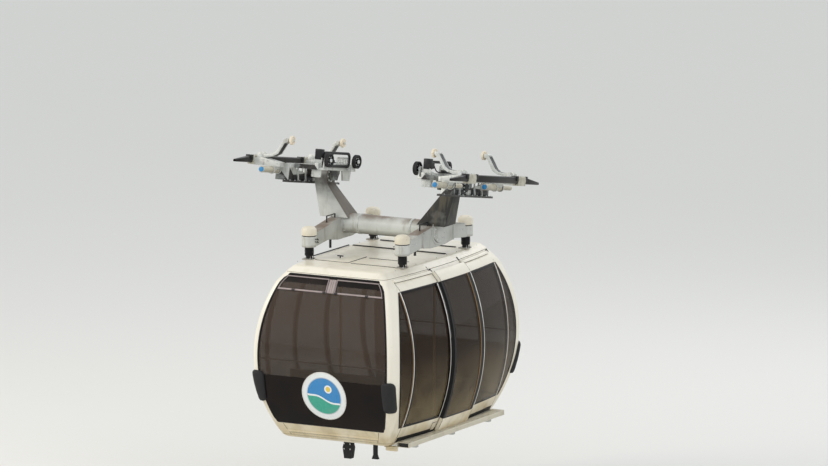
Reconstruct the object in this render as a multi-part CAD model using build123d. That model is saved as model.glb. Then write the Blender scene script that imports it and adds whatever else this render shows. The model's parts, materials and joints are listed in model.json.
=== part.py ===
from build123d import *
import math
import os

# A cable car cabin that hangs between two parallel ropes. Millimetres, +Z up, +Y along the ropes,
# +X towards the door side. The origin is midway between the ropes, at their height.

# Ropes and their slope, down towards +Y
ROPE_GAUGE = 3240.0
ROPE_R = 20.0
INCLINE = 9.6
PIVOT_DROP = 110.0

# Cabin body: side and end walls bulge like a barrel, and the sides are slightly curved in plan
ROOF_Z = -1085.0
BODY_HEIGHT = 2295.0
BULGE_DROP = 1175.0
HALF_WIDTH = 1195.0
HALF_LENGTH = 1780.0
SIDE_BULGE_R = 2150.0
END_BULGE_R = 1880.0
PLAN_R = 10500.0
SHOULDER_DROP = 215.0
ROOF_EDGE_IN = 395.0
ROOF_EDGE_DROP = 30.0
ROOF_BEVEL = 50.0
BOTTOM_BEVEL = 40.0
CORNER_R = 62.0
WALL = 45.0
ROOF_SEAM_DROP = 80.0
HATCH_X0 = -620.0
HATCH_X1 = -120.0
HATCH_Y0 = -820.0
HATCH_Y1 = -400.0
HATCH_CORNER_R = 30.0
HATCH_T = 10.0
STRIP_NEAR_Y = 320.0
STRIP_FAR_Y = 840.0
POST_DEPTH = 155.0

# Windows
END_GLASS_DROP = 95.0
END_RAIL = 220.0
END_GLASS_SIDE = 75.0
END_GLASS_CORNER_R = 45.0
SIDE_GLASS_DROP = 245.0
SILL = 255.0
GLASS_INSET = 3.0
GLASS_T = 12.0
DOOR_HALF = 410.0
MULLION = 25.0
WIDE_PANE = 850.0
VENT_DROP = 28.0
VENT_HEIGHT = 175.0
VENT_BAR = 16.0
VENT_GAP = 80.0

# Door leaf, proud of the side wall, and its tracks
DOOR_GAP = 10.0
DOOR_T = 45.0
DOOR_DROP = 130.0
DOOR_LIFT = 80.0
DOOR_STILE = 38.0
DOOR_TRAVEL = 880.0
TRACK_H = 32.0
TRACK_T = 26.0
TRACK_CLEARANCE = 9.0

# Step on the door side
STEP_DROP = 18.0
STEP_T = 66.0
STEP_OUT = 1045.0
STEP_IN = 865.0
STEP_HALF = 1325.0
STEP_SKIN = 6.0
STEP_CLEARANCE = 6.0

# Fittings
BUMPER_H = 420.0
BUMPER_OVER_BOTTOM = 510.0
BUMPER_PROUD = 38.0
BUMPER_ON_END = 165.0
BUMPER_ON_SIDE = 125.0
BUMPER_ROUND = 65.0
RAIL_OVER_BOTTOM = 1078.0
RAIL_R = 11.0
RAIL_STAND_OFF = 100.0
DISC_OVER_BOTTOM = 660.0
DISC_R = 330.0
BENCH_H = 430.0
BENCH_DEPTH = 400.0
BENCH_BACK_H = 440.0
BENCH_GAP = 60.0
POLE_R = 17.0
POLE_X = 350.0
POLE_Y = 650.0
FRAME_RAIL_X = 480.0
FRAME_RAIL_H = 50.0
FRAME_RAIL_W = 70.0
FRAME_RAIL_HALF = 1100.0
SHOE_Y = 1010.0
SHOE_DROP = 240.0

# Hanger
TUBE_DROP = 720.0
TUBE_R = 130.0
TUBE_CAP_R = 152.0
TUBE_CAP_T = 22.0
BEAM_X = 700.0
BEAM_W = 130.0
BEAM_TOP = 85.0
BEAM_FALL = 95.0
BEAM_DEPTH = 290.0
BEAM_RISE = 40.0
DAMPER_Y = 870.0
DAMPER_R = 98.0
DAMPER_H = 143.0
DAMPER_OVER_ROOF = 165.0
CAP_R = 103.0
CAP_H = 115.0
GASKET = 12.0
ARM_EYE_FROM_ROPE = 665.0
ARM_EYE_W = 190.0
ARM_EYE_R = 95.0
ARM_FOOT_W = 430.0
ARM_FOOT_DEPTH = 300.0
PIN_R = 35.0
RUNNING_CLEARANCE = 0.05

# Carriages, in their own frame: origin on the pivot, y along the rope, z square to it
GEAR_SHIFT = -50.0
GRIP_Y = 695.0
BAND = 200.0
OUTER_PLATE_FROM_ROPE = 460.0
INNER_BEAM_FROM_ROPE = 820.0
WHEEL_FROM_ROPE = 955.0
PLATE_T = 24.0
TRUSS_SHIFT = 25.0
TRUSS_HALF = 685.0
TRUSS_LOW = -125.0
TRUSS_HIGH = 130.0
TRUSS_POST = 110.0
FLANGE_W = 110.0
FLANGE_T = 26.0
CHORD = 60.0
INNER_BEAM_HALF = 470.0
INNER_BEAM_W = 50.0
WHEEL_Y = 380.0
WHEEL_Z = 205.0
WHEEL_R = 92.0
WHEEL_W = 56.0
AXLE_R = 16.0
GUARD_HALF = 370.0
GUARD_H = 210.0
GUARD_BAR = 36.0
GUARD_T = 24.0
GUARD_ROUND = 75.0
SLEEVE_W = 74.0
SLEEVE_H = 94.0
SLEEVE_TAPER = 420.0
LEVER_SPREAD = 84.0
LEVER_T = 16.0
ROLLER_R = 61.0
ROLLER_W = 36.0
ROLLER_PIN_R = 12.0
ROLLER_FROM_ROPE = 535.0
ROLLER_OVER_ROPE = 322.0
BOSS_FROM_ROPE = 120.0
BOSS_OVER_ROPE = 86.0
BOSS_R = 34.0
SPRING_FROM_ROPE = 320.0
SPRING_R = 45.0
SPRING_REAR_R = 31.0
SPRING_BELOW = 83.0
SPRING_LENGTH = 450.0
SPRING_AHEAD = 355.0

# Worked out from the sizes above
ROPE_X = ROPE_GAUGE / 2
ROPE_OVER_PIVOT = PIVOT_DROP * math.cos(math.radians(INCLINE))
BOTTOM_Z = ROOF_Z - BODY_HEIGHT
BULGE_Z = ROOF_Z - BULGE_DROP
FLOOR_TOP = BOTTOM_Z + WALL
ROOF_SEAM_Z = ROOF_Z - ROOF_SEAM_DROP
PLAN_AXIS_X = HALF_WIDTH - PLAN_R
END_GLASS_TOP = ROOF_Z - END_GLASS_DROP
END_GLASS_LOW = BOTTOM_Z + END_RAIL
SIDE_GLASS_TOP = ROOF_Z - SIDE_GLASS_DROP
SIDE_GLASS_LOW = BOTTOM_Z + SILL
DOOR_TOP = ROOF_Z - DOOR_DROP
DOOR_LOW = BOTTOM_Z + DOOR_LIFT
STEP_TOP = DOOR_LOW - STEP_DROP
TUBE_Z = -TUBE_DROP
BEAM_HIGH = TUBE_Z + BEAM_TOP
BEAM_LOW = BEAM_HIGH - BEAM_DEPTH
DAMPER_LOW = ROOF_Z + DAMPER_OVER_ROOF
DAMPER_HIGH = DAMPER_LOW + DAMPER_H
CAP_LOW = DAMPER_HIGH + GASKET
ARM_EYE_X = ROPE_X - ARM_EYE_FROM_ROPE
OUTER_PLATE_X = ROPE_X - OUTER_PLATE_FROM_ROPE
INNER_BEAM_X = ROPE_X - INNER_BEAM_FROM_ROPE
WHEEL_X = ROPE_X - WHEEL_FROM_ROPE
GRIP_PLACES = (GEAR_SHIFT - GRIP_Y, GEAR_SHIFT + GRIP_Y)
WHEEL_PLACES = (GEAR_SHIFT - WHEEL_Y, GEAR_SHIFT + WHEEL_Y)
REACH = 2 * max(HALF_LENGTH, HALF_WIDTH, BODY_HEIGHT)

os.makedirs("parts", exist_ok=True)


def block(x0, x1, y0, y1, z0, z1):
    """A box between two corners."""
    centre = ((x0 + x1) / 2, (y0 + y1) / 2, (z0 + z1) / 2)
    return Pos(*centre) * Box(x1 - x0, y1 - y0, z1 - z0)


def band_z(z0, z1):
    """All space between two heights."""
    return block(-REACH, REACH, -REACH, REACH, z0, z1)


def rod(start, end, radius):
    """A round bar between two points."""
    line = Vector(*end) - Vector(*start)
    return extrude(Plane(origin=start, z_dir=line) * Circle(radius), line.length)


def prism_x(points, x0, x1):
    """A polygon in (y, z) carried from x0 to x1."""
    face = make_face(Polyline(*[(x0, y, z) for y, z in points], close=True))
    return extrude(face, x1 - x0, dir=(1, 0, 0))


def prism_y(points, y0, y1):
    """A polygon in (x, z) carried from y0 to y1."""
    face = make_face(Polyline(*[(x, y0, z) for x, z in points], close=True))
    return extrude(face, y1 - y0, dir=(0, 1, 0))


def both_sides(shape):
    """The shape and its mirror image from side to side."""
    return [shape, mirror(shape, about=Plane.YZ)]


def both_ends(shape):
    """The shape and its mirror image from end to end."""
    return [shape, mirror(shape, about=Plane.XZ)]


def four_corners(shape):
    """The shape at all four corners."""
    return [copy for end in both_ends(shape) for copy in both_sides(end)]


def save(name, shapes):
    """Write one node from every solid in the shapes."""
    solids = [solid for shape in shapes for solid in shape.solids()]
    whole = solids[0] if len(solids) == 1 else Compound(children=solids)
    export_step(whole, f"parts/{name}.step")


# Cabin body


def sag(radius, z):
    """How far an arc about the bulge's height has come in at height z."""
    return radius - math.sqrt(radius ** 2 - (z - BULGE_Z) ** 2)


def inset_face(face, inset):
    """A section brought in by inset, or let out if it is negative."""
    return offset(face, -inset, kind=Kind.INTERSECTION) if inset else face


def side_body(inset):
    """The cabin as far as the +X wall, brought in by inset: a section turned about a far upright axis."""
    def at(z):
        return HALF_WIDTH - sag(SIDE_BULGE_R, z)

    shoulder = ROOF_Z - SHOULDER_DROP
    roof_x = HALF_WIDTH - ROOF_EDGE_IN
    low = BOTTOM_Z + BOTTOM_BEVEL
    arc = ThreePointArc((at(low), 0, low), (HALF_WIDTH, 0, BULGE_Z), (at(shoulder), 0, shoulder))
    rest = Polyline(
        (at(shoulder), 0, shoulder),
        (roof_x, 0, ROOF_Z - ROOF_EDGE_DROP),
        (roof_x - ROOF_BEVEL, 0, ROOF_Z),
        (-REACH, 0, ROOF_Z),
        (-REACH, 0, BOTTOM_Z),
        (at(low) - BOTTOM_BEVEL, 0, BOTTOM_Z),
        (at(low), 0, low),
    )
    section = inset_face(make_face([arc, *rest.edges()]), inset)
    axis = Axis((PLAN_AXIS_X, 0, 0), (0, 0, 1))
    half_turn = math.degrees(HALF_LENGTH * 1.2 / (PLAN_R - REACH))
    return revolve(section, axis, 2 * half_turn).rotate(axis, -half_turn)


def end_y(z):
    """An end wall's distance from the middle at height z."""
    return HALF_LENGTH - sag(END_BULGE_R, z)


def end_section(low, high, low_bevel, high_bevel):
    """The end walls' outline in the upright plane along the cabin."""
    low_y = end_y(low) - low_bevel
    high_y = end_y(high) - high_bevel
    edges = [Line((0, y, z), (0, -y, z)) for y, z in ((low_y, low - low_bevel), (high_y, high + high_bevel))]
    for side in (-1, 1):
        bottom, middle, top = [(0, side * end_y(z), z) for z in (low, BULGE_Z, high)]
        edges.append(ThreePointArc(bottom, middle, top))
        if low_bevel:
            edges.append(Line(bottom, (0, side * low_y, low - low_bevel)))
        if high_bevel:
            edges.append(Line(top, (0, side * high_y, high + high_bevel)))
    return make_face(edges)


def end_body(inset):
    """The cabin as far as both end walls, brought in by inset."""
    outline = end_section(BOTTOM_Z + BOTTOM_BEVEL, ROOF_Z - ROOF_BEVEL, BOTTOM_BEVEL, ROOF_BEVEL)
    section = inset_face(outline, inset)
    return extrude(section, REACH / 2, both=True, dir=(1, 0, 0))


def between_posts():
    """All that lies between the corner posts, past the roof and floor."""
    section = end_section(BOTTOM_Z - 2 * POST_DEPTH, ROOF_Z + 2 * POST_DEPTH, 0, 0)
    return extrude(inset_face(section, POST_DEPTH), REACH / 2, both=True, dir=(1, 0, 0))


def barrel(inset):
    """The cabin's closed form, brought in by inset all round, with rounded corners."""
    side = side_body(inset)
    form = side & mirror(side, about=Plane.YZ) & end_body(inset)
    corners = form.edges().filter_by(lambda edge: edge.bounding_box().size.Z > BODY_HEIGHT / 2)
    return fillet(corners, CORNER_R - min(inset, WALL))


barrel_skin = barrel(0)
barrel_inside = barrel(WALL)
wall = barrel_skin - barrel_inside
pane_layer = barrel(GLASS_INSET) - barrel(GLASS_INSET + GLASS_T)
walls_only = wall & band_z(FLOOR_TOP, ROOF_SEAM_Z)
middle_zone = between_posts()
side_zone = middle_zone & block(0, REACH, -REACH, REACH, BOTTOM_Z, ROOF_Z)
end_zone = block(-REACH, REACH, -REACH, 0, BOTTOM_Z, ROOF_Z) - middle_zone


def plan_sag(y):
    """How far a side has come in, y along the cabin from its middle."""
    return PLAN_R - math.sqrt(PLAN_R ** 2 - y ** 2)


def corner_x(z):
    """Where a side would meet an end at height z, without the rounded corner."""
    return HALF_WIDTH - sag(SIDE_BULGE_R, z) - plan_sag(end_y(z))


def end_opening(inset):
    """An end window's outline carried along the cabin, brought in by inset."""
    def at(z):
        return corner_x(z) - END_GLASS_SIDE

    edges = []
    for side in (-1, 1):
        low, middle, high = [(side * at(z), 0, z) for z in (END_GLASS_LOW, BULGE_Z, END_GLASS_TOP)]
        edges.append(ThreePointArc(low, middle, high))
    for z in (END_GLASS_LOW, END_GLASS_TOP):
        edges.append(Line((-at(z), 0, z), (at(z), 0, z)))
    face = make_face(edges)
    face = fillet(face.vertices(), END_GLASS_CORNER_R)
    return extrude(inset_face(face, inset), REACH, both=True, dir=(0, 1, 0))


def floor_panel():
    """Floor panel."""
    return wall & band_z(BOTTOM_Z, FLOOR_TOP)


def end_frame():
    """Moulded end surround with both posts, cut out for the large window."""
    return (walls_only & end_zone) - end_opening(0)


def end_window():
    """The large pane of an end."""
    return pane_layer & end_zone & end_opening(0)


def vent_frames():
    """Two narrow opening frames at the top of an end window, their outer ends along the window's edge."""
    layer = end_body(GLASS_INSET - VENT_BAR) - end_body(GLASS_INSET)
    top = END_GLASS_TOP - VENT_DROP
    low = top - VENT_HEIGHT
    outer = end_opening(VENT_DROP) & band_z(low, top)
    inner = end_opening(VENT_DROP + VENT_BAR) & band_z(low + VENT_BAR, top - VENT_BAR)
    frames = []
    for side in (-1, 1):
        half = block(*sorted((side * VENT_GAP / 2, side * REACH)), -REACH, 0, low, top)
        hole = block(*sorted((side * (VENT_GAP / 2 + VENT_BAR), side * REACH)), -REACH, 0, low, top)
        frames.append((layer & outer & half) - (inner & hole))
    return frames


def side_openings():
    """Cutters for the fixed panes of one side, clear of the door."""
    cutters = []
    near = DOOR_HALF + MULLION
    for low, high in ((near, near + WIDE_PANE), (near + WIDE_PANE + MULLION, REACH)):
        cutters += both_ends(block(0, REACH, low, high, SIDE_GLASS_LOW, SIDE_GLASS_TOP))
    return cutters


def middle_opening():
    """Cutter for the middle pane of the side with no door."""
    return block(0, REACH, -DOOR_HALF, DOOR_HALF, SIDE_GLASS_LOW, SIDE_GLASS_TOP)


def doorway():
    """Cutter for the doorway, hidden by the leaf all round."""
    half = DOOR_HALF - DOOR_STILE
    return block(0, REACH, -half, half, DOOR_LOW + DOOR_STILE, DOOR_TOP - DOOR_STILE)


def side_wall(middle):
    """The +X side wall with its openings."""
    solid = walls_only & side_zone
    for cutter in [*side_openings(), middle]:
        solid -= cutter
    return solid


def side_panes(cutters):
    """Panes that fill the openings given."""
    return [pane_layer & side_zone & cutter for cutter in cutters]


def leaf_layer(outer, inner):
    """A layer of the sliding leaf, concentric with the wall; depths count from the leaf's face."""
    face = -DOOR_GAP - DOOR_T
    return side_body(face + outer) - side_body(face + inner)


def leaf_pane_cutter():
    """The window of the sliding leaf."""
    half = DOOR_HALF - DOOR_STILE
    return block(0, REACH, -half, half, SIDE_GLASS_LOW, SIDE_GLASS_TOP)


def door_leaf():
    """Sliding leaf with its window cut out and a guide block at each lower corner."""
    leaf = leaf_layer(0, DOOR_T) & block(0, REACH, -DOOR_HALF, DOOR_HALF, DOOR_LOW, DOOR_TOP)
    leaf -= leaf_pane_cutter()
    face_x = HALF_WIDTH + DOOR_GAP + DOOR_T - sag(SIDE_BULGE_R, DOOR_LOW)
    for side in (-1, 1):
        y0, y1 = sorted((side * DOOR_HALF, side * (DOOR_HALF - 2 * DOOR_STILE)))
        leaf += block(face_x - DOOR_T / 2, face_x + DOOR_T / 2, y0, y1, DOOR_LOW, DOOR_LOW + DOOR_T)
    return leaf


def door_glass():
    """The leaf's pane."""
    return leaf_layer(GLASS_INSET, GLASS_INSET + GLASS_T) & leaf_pane_cutter()


def door_tracks():
    """Rails over the wall on both sides of the door, just above the leaf."""
    low = DOOR_TOP + TRACK_CLEARANCE
    layer = side_body(-TRACK_T) - side_body(0)
    rail = layer & block(0, REACH, DOOR_HALF, DOOR_HALF + DOOR_TRAVEL, low, low + TRACK_H)
    return both_ends(rail)


def roof_panel():
    """Roof panel down to its seam, with a raised hatch."""
    centre = Pos((HATCH_X0 + HATCH_X1) / 2, (HATCH_Y0 + HATCH_Y1) / 2, ROOF_Z)
    hatch = centre * RectangleRounded(HATCH_X1 - HATCH_X0, HATCH_Y1 - HATCH_Y0, HATCH_CORNER_R)
    return (wall & band_z(ROOF_SEAM_Z, ROOF_Z)) + extrude(hatch, HATCH_T)


def roof_strips():
    """Black transverse strips across the roof."""
    half_w = 13.0
    thickness = 12.0
    edge = HALF_WIDTH - ROOF_EDGE_IN - 2 * ROOF_BEVEL
    between_beams = BEAM_X - BEAM_W
    return [
        block(-reach, reach, y - half_w, y + half_w, ROOF_Z, ROOF_Z + thickness)
        for y, reach in ((STRIP_NEAR_Y, edge), (STRIP_FAR_Y, between_beams))
    ]


def step():
    """Running board on the door side: a hollow profile with open ends, its inner edge along the cabin."""
    low = STEP_TOP - STEP_T
    skin = STEP_SKIN
    body = block(STEP_IN, STEP_OUT, -STEP_HALF, STEP_HALF, low, STEP_TOP)
    body -= block(STEP_IN + skin, STEP_OUT - skin, -REACH, REACH, low + skin, STEP_TOP - skin)
    return body - side_body(-STEP_CLEARANCE)


def underframe():
    """Two long members and cross members under the floor, on which the step is carried."""
    high = BOTTOM_Z
    low = high - FRAME_RAIL_H
    half = FRAME_RAIL_W / 2
    side = corner_x(BOTTOM_Z + BOTTOM_BEVEL) - WALL
    step_low = STEP_TOP - STEP_T
    members = [block(x - half, x + half, -FRAME_RAIL_HALF, FRAME_RAIL_HALF, low, high)
               for x in (-FRAME_RAIL_X, FRAME_RAIL_X)]
    for y in (-SHOE_Y, 0, SHOE_Y):
        members.append(block(-side, STEP_OUT - WALL, y - half, y + half, low, step_low))
        members.append(block(-side, side, y - half, y + half, step_low, high))
    solid = members[0]
    for member in members[1:]:
        solid += member
    return solid


def bumper():
    """Rubber pad that wraps a corner post, its outline rounded from the end and from the side."""
    low = BOTTOM_Z + BUMPER_OVER_BOTTOM
    middle = low + BUMPER_H / 2
    inner_x = corner_x(BULGE_Z) - BUMPER_ON_END
    inner_y = HALF_LENGTH - BUMPER_ON_SIDE
    wide = 2 * BUMPER_ON_END + 2 * BUMPER_PROUD
    from_end = Pos(inner_x + wide / 2, 0, middle) * Rot(90, 0, 0) * RectangleRounded(wide, BUMPER_H, BUMPER_ROUND)
    from_side = Pos(0, -inner_y - wide / 2, middle) * Rot(0, 90, 0) * RectangleRounded(BUMPER_H, wide, BUMPER_ROUND)
    end_form = extrude(from_end, REACH, both=True)
    side_form = extrude(from_side, REACH)
    near = block(0, REACH, -REACH, 0, low, low + BUMPER_H)
    outer = side_body(-BUMPER_PROUD) & end_body(-BUMPER_PROUD) & near
    corner = outer.edges().sort_by(lambda edge: edge.center().X - edge.center().Y)[-1]
    return (fillet(corner, CORNER_R + BUMPER_PROUD) - barrel_skin) & end_form & side_form


def handrail():
    """Bar across an end, inside the glass, with its ends turned out to the posts."""
    z = BOTTOM_Z + RAIL_OVER_BOTTOM
    wall_y = -end_y(z) + WALL / 2
    y = -end_y(z) + RAIL_STAND_OFF
    half = corner_x(z) - END_GLASS_SIDE + 1.5 * RAIL_R
    path = FilletPolyline((-half, wall_y, z), (-half, y, z), (half, y, z), (half, wall_y, z), radius=3 * RAIL_R)
    start = Plane(origin=path @ 0, z_dir=path % 0)
    return sweep(start * Circle(RAIL_R), path) & barrel_inside


def emblem_disc():
    """Plain round disc on an end window."""
    z = BOTTOM_Z + DISC_OVER_BOTTOM
    layer = end_body(GLASS_INSET - 4) - end_body(GLASS_INSET)
    return layer & rod((0, -REACH, z), (0, 0, z), DISC_R)


def bench():
    """Moulded seat across an end: a front panel, a seat and a back."""
    back_y = -(end_y(FLOOR_TOP) - WALL - BENCH_GAP)
    front_y = back_y + BENCH_DEPTH
    seat_z = FLOOR_TOP + BENCH_H
    skin = 30.0
    outline = [
        (front_y - 2 * skin, FLOOR_TOP), (front_y - skin, FLOOR_TOP), (front_y, seat_z - skin),
        (front_y, seat_z), (back_y, seat_z - skin), (back_y - skin, seat_z + BENCH_BACK_H),
        (back_y - 2 * skin, seat_z + BENCH_BACK_H), (back_y - skin, seat_z - 2 * skin),
        (front_y - skin, seat_z - 2 * skin),
    ]
    half = corner_x(FLOOR_TOP) - WALL - BENCH_GAP
    return prism_x(outline, -half, half)


def grab_poles():
    """Poles from floor to roof."""
    places = [(x, y) for x in (-POLE_X, POLE_X) for y in (-POLE_Y, POLE_Y)]
    return [rod((x, y, FLOOR_TOP), (x, y, ROOF_Z - WALL), POLE_R) for x, y in places]


def guide_shoes():
    """Tapered guide shoe and a smaller one, under the near cross member."""
    top = BOTTOM_Z - FRAME_RAIL_H
    wide = 76.0
    stem = 50.0
    thick = 42.0
    waist = top - SHOE_DROP * 0.4
    foot = top - SHOE_DROP
    outline = [(-stem, top), (stem, top), (wide, waist), (wide * 0.7, foot), (-wide * 0.7, foot), (-wide, waist)]
    shoe = prism_y([(dx - wide / 3, z) for dx, z in outline], -SHOE_Y - thick, -SHOE_Y + thick)
    x = POLE_X + stem / 2
    ankle = foot + SHOE_DROP * 0.35
    small = [(-stem / 2, top), (stem / 2, top), (stem / 2, ankle), (stem, foot + stem / 2), (-stem, foot + stem / 2),
             (-stem / 2, ankle)]
    small_shoe = prism_y([(x + dx, z) for dx, z in small], -SHOE_Y - stem / 2, -SHOE_Y + stem / 2)
    return [shoe, small_shoe]


# Hanger


def cross_tube():
    """Lateral tube through both beams, with an end cap outside each."""
    end = BEAM_X + BEAM_W / 2
    tube = rod((-end, 0, TUBE_Z), (end, 0, TUBE_Z), TUBE_R)
    for side in (-1, 1):
        tube += rod((side * end, 0, TUBE_Z), (side * (end + TUBE_CAP_T), 0, TUBE_Z), TUBE_CAP_R)
    return tube


def side_beam():
    """Longitudinal beam on the +X side with a damper housing at each end, bored for the tube."""
    x0 = BEAM_X - BEAM_W / 2
    x1 = BEAM_X + BEAM_W / 2
    flat = ARM_FOOT_DEPTH / 2 + BEAM_RISE
    reach = DAMPER_Y - CAP_R - GASKET
    half = [
        (flat, BEAM_HIGH), (reach, BEAM_HIGH - BEAM_FALL), (reach, DAMPER_HIGH), (DAMPER_Y, DAMPER_HIGH),
        (DAMPER_Y, DAMPER_LOW), (reach, DAMPER_LOW), (reach - BEAM_DEPTH, BEAM_LOW + BEAM_RISE), (flat, BEAM_LOW),
    ]
    solid = prism_x(half + [(-y, z) for y, z in reversed(half)], x0, x1)
    for y in (-DAMPER_Y, DAMPER_Y):
        solid += rod((BEAM_X, y, DAMPER_LOW), (BEAM_X, y, DAMPER_HIGH), DAMPER_R)
    return solid - cross_tube()


def arm():
    """Leaning box arm on the +X side: an eye at its top, its foot astride the beam and the tube."""
    foot_z = BEAM_HIGH
    neck_z = -PIVOT_DROP - ARM_EYE_R
    inner = BEAM_X - BEAM_W / 2 - ARM_FOOT_W / 3.5
    foot = Pos(inner + ARM_FOOT_W / 2, 0, foot_z) * Rectangle(ARM_FOOT_W, ARM_FOOT_DEPTH)
    neck = Pos(ARM_EYE_X, 0, neck_z) * Rectangle(ARM_EYE_W, 2 * ARM_EYE_R)
    solid = loft([foot, neck])
    x0 = ARM_EYE_X - ARM_EYE_W / 2
    x1 = ARM_EYE_X + ARM_EYE_W / 2
    solid += block(x0, x1, -ARM_EYE_R, ARM_EYE_R, neck_z, -PIVOT_DROP)
    solid += rod((x0, 0, -PIVOT_DROP), (x1, 0, -PIVOT_DROP), ARM_EYE_R)
    solid -= rod((x0, 0, -PIVOT_DROP), (x1, 0, -PIVOT_DROP), PIN_R + RUNNING_CLEARANCE)
    return solid - cross_tube()


def damper_cap():
    """Domed cap on a damper."""
    cap = Pos(BEAM_X, -DAMPER_Y, CAP_LOW + CAP_H / 2) * Cylinder(CAP_R, CAP_H)
    return fillet(cap.edges().group_by(Axis.Z)[-1], CAP_H / 2)


def damper_ring():
    """Dark ring between cap and housing."""
    return rod((BEAM_X, -DAMPER_Y, DAMPER_HIGH), (BEAM_X, -DAMPER_Y, CAP_LOW), DAMPER_R - 8)


def damper_rod():
    """Dark rod and pale foot between the roof and a housing."""
    neck = ROOF_Z + DAMPER_OVER_ROOF / 3
    foot = rod((BEAM_X, -DAMPER_Y, ROOF_Z), (BEAM_X, -DAMPER_Y, neck), DAMPER_R * 0.42)
    return foot + rod((BEAM_X, -DAMPER_Y, neck), (BEAM_X, -DAMPER_Y, DAMPER_LOW), DAMPER_R * 0.6)


# Carriages


def on_rope(shape):
    """Carriage pieces are drawn level about the pivot, then lean with the rope."""
    return Pos(0, 0, -PIVOT_DROP) * Rot(-INCLINE, 0, 0) * shape


def truss():
    """Outer plate of a carriage, before it is shifted: flange, posts, diagonals and top chord."""
    x0 = OUTER_PLATE_X - PLATE_T / 2
    x1 = OUTER_PLATE_X + PLATE_T / 2
    chord_low = TRUSS_HIGH - CHORD
    flange_high = TRUSS_LOW + FLANGE_T
    web_half = TRUSS_HALF - TRUSS_POST / 2
    plate = prism_x([(-web_half, TRUSS_LOW), (web_half, TRUSS_LOW), (web_half, TRUSS_HIGH), (-web_half, TRUSS_HIGH)],
                    x0, x1)
    strut = CHORD * 0.8
    for side in (-1, 1):
        outer = side * (web_half - TRUSS_POST)
        hub = side * (PIN_R + strut)
        low_hole = [(outer, flange_high), (outer, -strut / 2), (hub + side * 2 * strut, flange_high)]
        high_hole = [(outer, chord_low), (hub + side * strut, chord_low), (hub + side * strut, 0),
                     (hub + side * 2 * strut, 0)]
        plate -= prism_x(low_hole, x0, x1)
        plate -= prism_x(high_hole, x0, x1)
    flange = block(OUTER_PLATE_X - FLANGE_W / 2, OUTER_PLATE_X + FLANGE_W / 2, -TRUSS_HALF, TRUSS_HALF,
                   TRUSS_LOW, flange_high)
    chord = block(OUTER_PLATE_X - CHORD / 2, OUTER_PLATE_X + CHORD / 2, -web_half, web_half, chord_low, TRUSS_HIGH)
    return plate + flange + chord


def end_plate():
    """Plate across the near end of the truss, against which the near spring seats."""
    y = TRUSS_SHIFT - TRUSS_HALF + TRUSS_POST / 2
    low = TRUSS_LOW + FLANGE_T
    inner_x = OUTER_PLATE_X - PLATE_T / 2
    spring_x = ROPE_X - SPRING_FROM_ROPE
    outer_x = spring_x + SPRING_R
    outline = [(inner_x, low), (outer_x, low), (outer_x, TRUSS_HIGH - CHORD), (OUTER_PLATE_X + CHORD / 2, TRUSS_HIGH),
               (inner_x, TRUSS_HIGH)]
    spring_z = ROPE_OVER_PIVOT - SPRING_BELOW
    bore = rod((spring_x, y - 2 * PLATE_T, spring_z), (spring_x, y + PLATE_T, spring_z), SPRING_REAR_R + 2)
    return prism_y(outline, y - PLATE_T, y) - bore


def carriage_frame():
    """Truss, inner beam, cross members, wheel brackets with axles, and the pivot pin."""
    solid = Pos(0, TRUSS_SHIFT, 0) * truss() + end_plate()
    beam_x0 = INNER_BEAM_X - INNER_BEAM_W / 2
    beam_x1 = INNER_BEAM_X + INNER_BEAM_W / 2
    beam_low = TRUSS_HIGH - CHORD
    beam_high = beam_low + 1.5 * CHORD
    beam_near = GEAR_SHIFT - INNER_BEAM_HALF
    beam_far = GEAR_SHIFT + INNER_BEAM_HALF
    solid += block(beam_x0, beam_x1, beam_near, beam_far, beam_low, beam_high)
    cheek = [(-2 * CHORD, beam_low), (2 * CHORD, beam_low), (CHORD, -CHORD), (-CHORD, -CHORD)]
    solid += prism_x(cheek, beam_x0 + 10, beam_x1 - 10)
    hanging = [(3 * CHORD, beam_low), (beam_far, beam_low), (beam_far - CHORD / 2, -CHORD), (3.5 * CHORD, -CHORD)]
    solid += prism_x(hanging, beam_x0 + 10, beam_x0 + 10 + PLATE_T)
    solid += rod((beam_x0, 0, 0), (OUTER_PLATE_X + PLATE_T, 0, 0), PIN_R)
    collar_gap = 6.0
    eye_end = ARM_EYE_X + ARM_EYE_W / 2 + collar_gap
    solid += rod((eye_end, 0, 0), (OUTER_PLATE_X, 0, 0), PIN_R * 1.5)
    eye_start = ARM_EYE_X - ARM_EYE_W / 2 - collar_gap
    solid += rod((beam_x1 - 12, 0, 0), (eye_start, 0, 0), PIN_R * 1.5)
    for y in (beam_near, beam_far - CHORD):
        solid += block(beam_x1, OUTER_PLATE_X, y, y + CHORD, beam_low, TRUSS_HIGH)
    for y in WHEEL_PLACES:
        solid += wheel_bracket(y, beam_x0, beam_low)
    return solid


def wheel_bracket(y, beam_x0, beam_low):
    """Bracket and axle for one running wheel, with a tall plate on its -Y side."""
    wheel_face = WHEEL_X + WHEEL_W / 2
    plate = prism_x([(y - CHORD, beam_low), (y + CHORD, beam_low), (y + CHORD / 2, WHEEL_Z + CHORD / 2),
                     (y - CHORD / 2, WHEEL_Z + CHORD / 2)], wheel_face + 12, wheel_face + 32)
    foot = block(wheel_face + 12, beam_x0, y - CHORD, y + CHORD, beam_low, beam_low + CHORD / 2)
    axle = rod((WHEEL_X - WHEEL_W / 2 - 8, y, WHEEL_Z), (wheel_face + 12, y, WHEEL_Z), AXLE_R)
    return plate + foot + axle


def from_rope(points, y0, y1):
    """A polygon of (distance inboard of the rope, height over the rope), carried from y0 to y1."""
    return prism_y([(ROPE_X - inboard, ROPE_OVER_PIVOT + high) for inboard, high in points], y0, y1)



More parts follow.
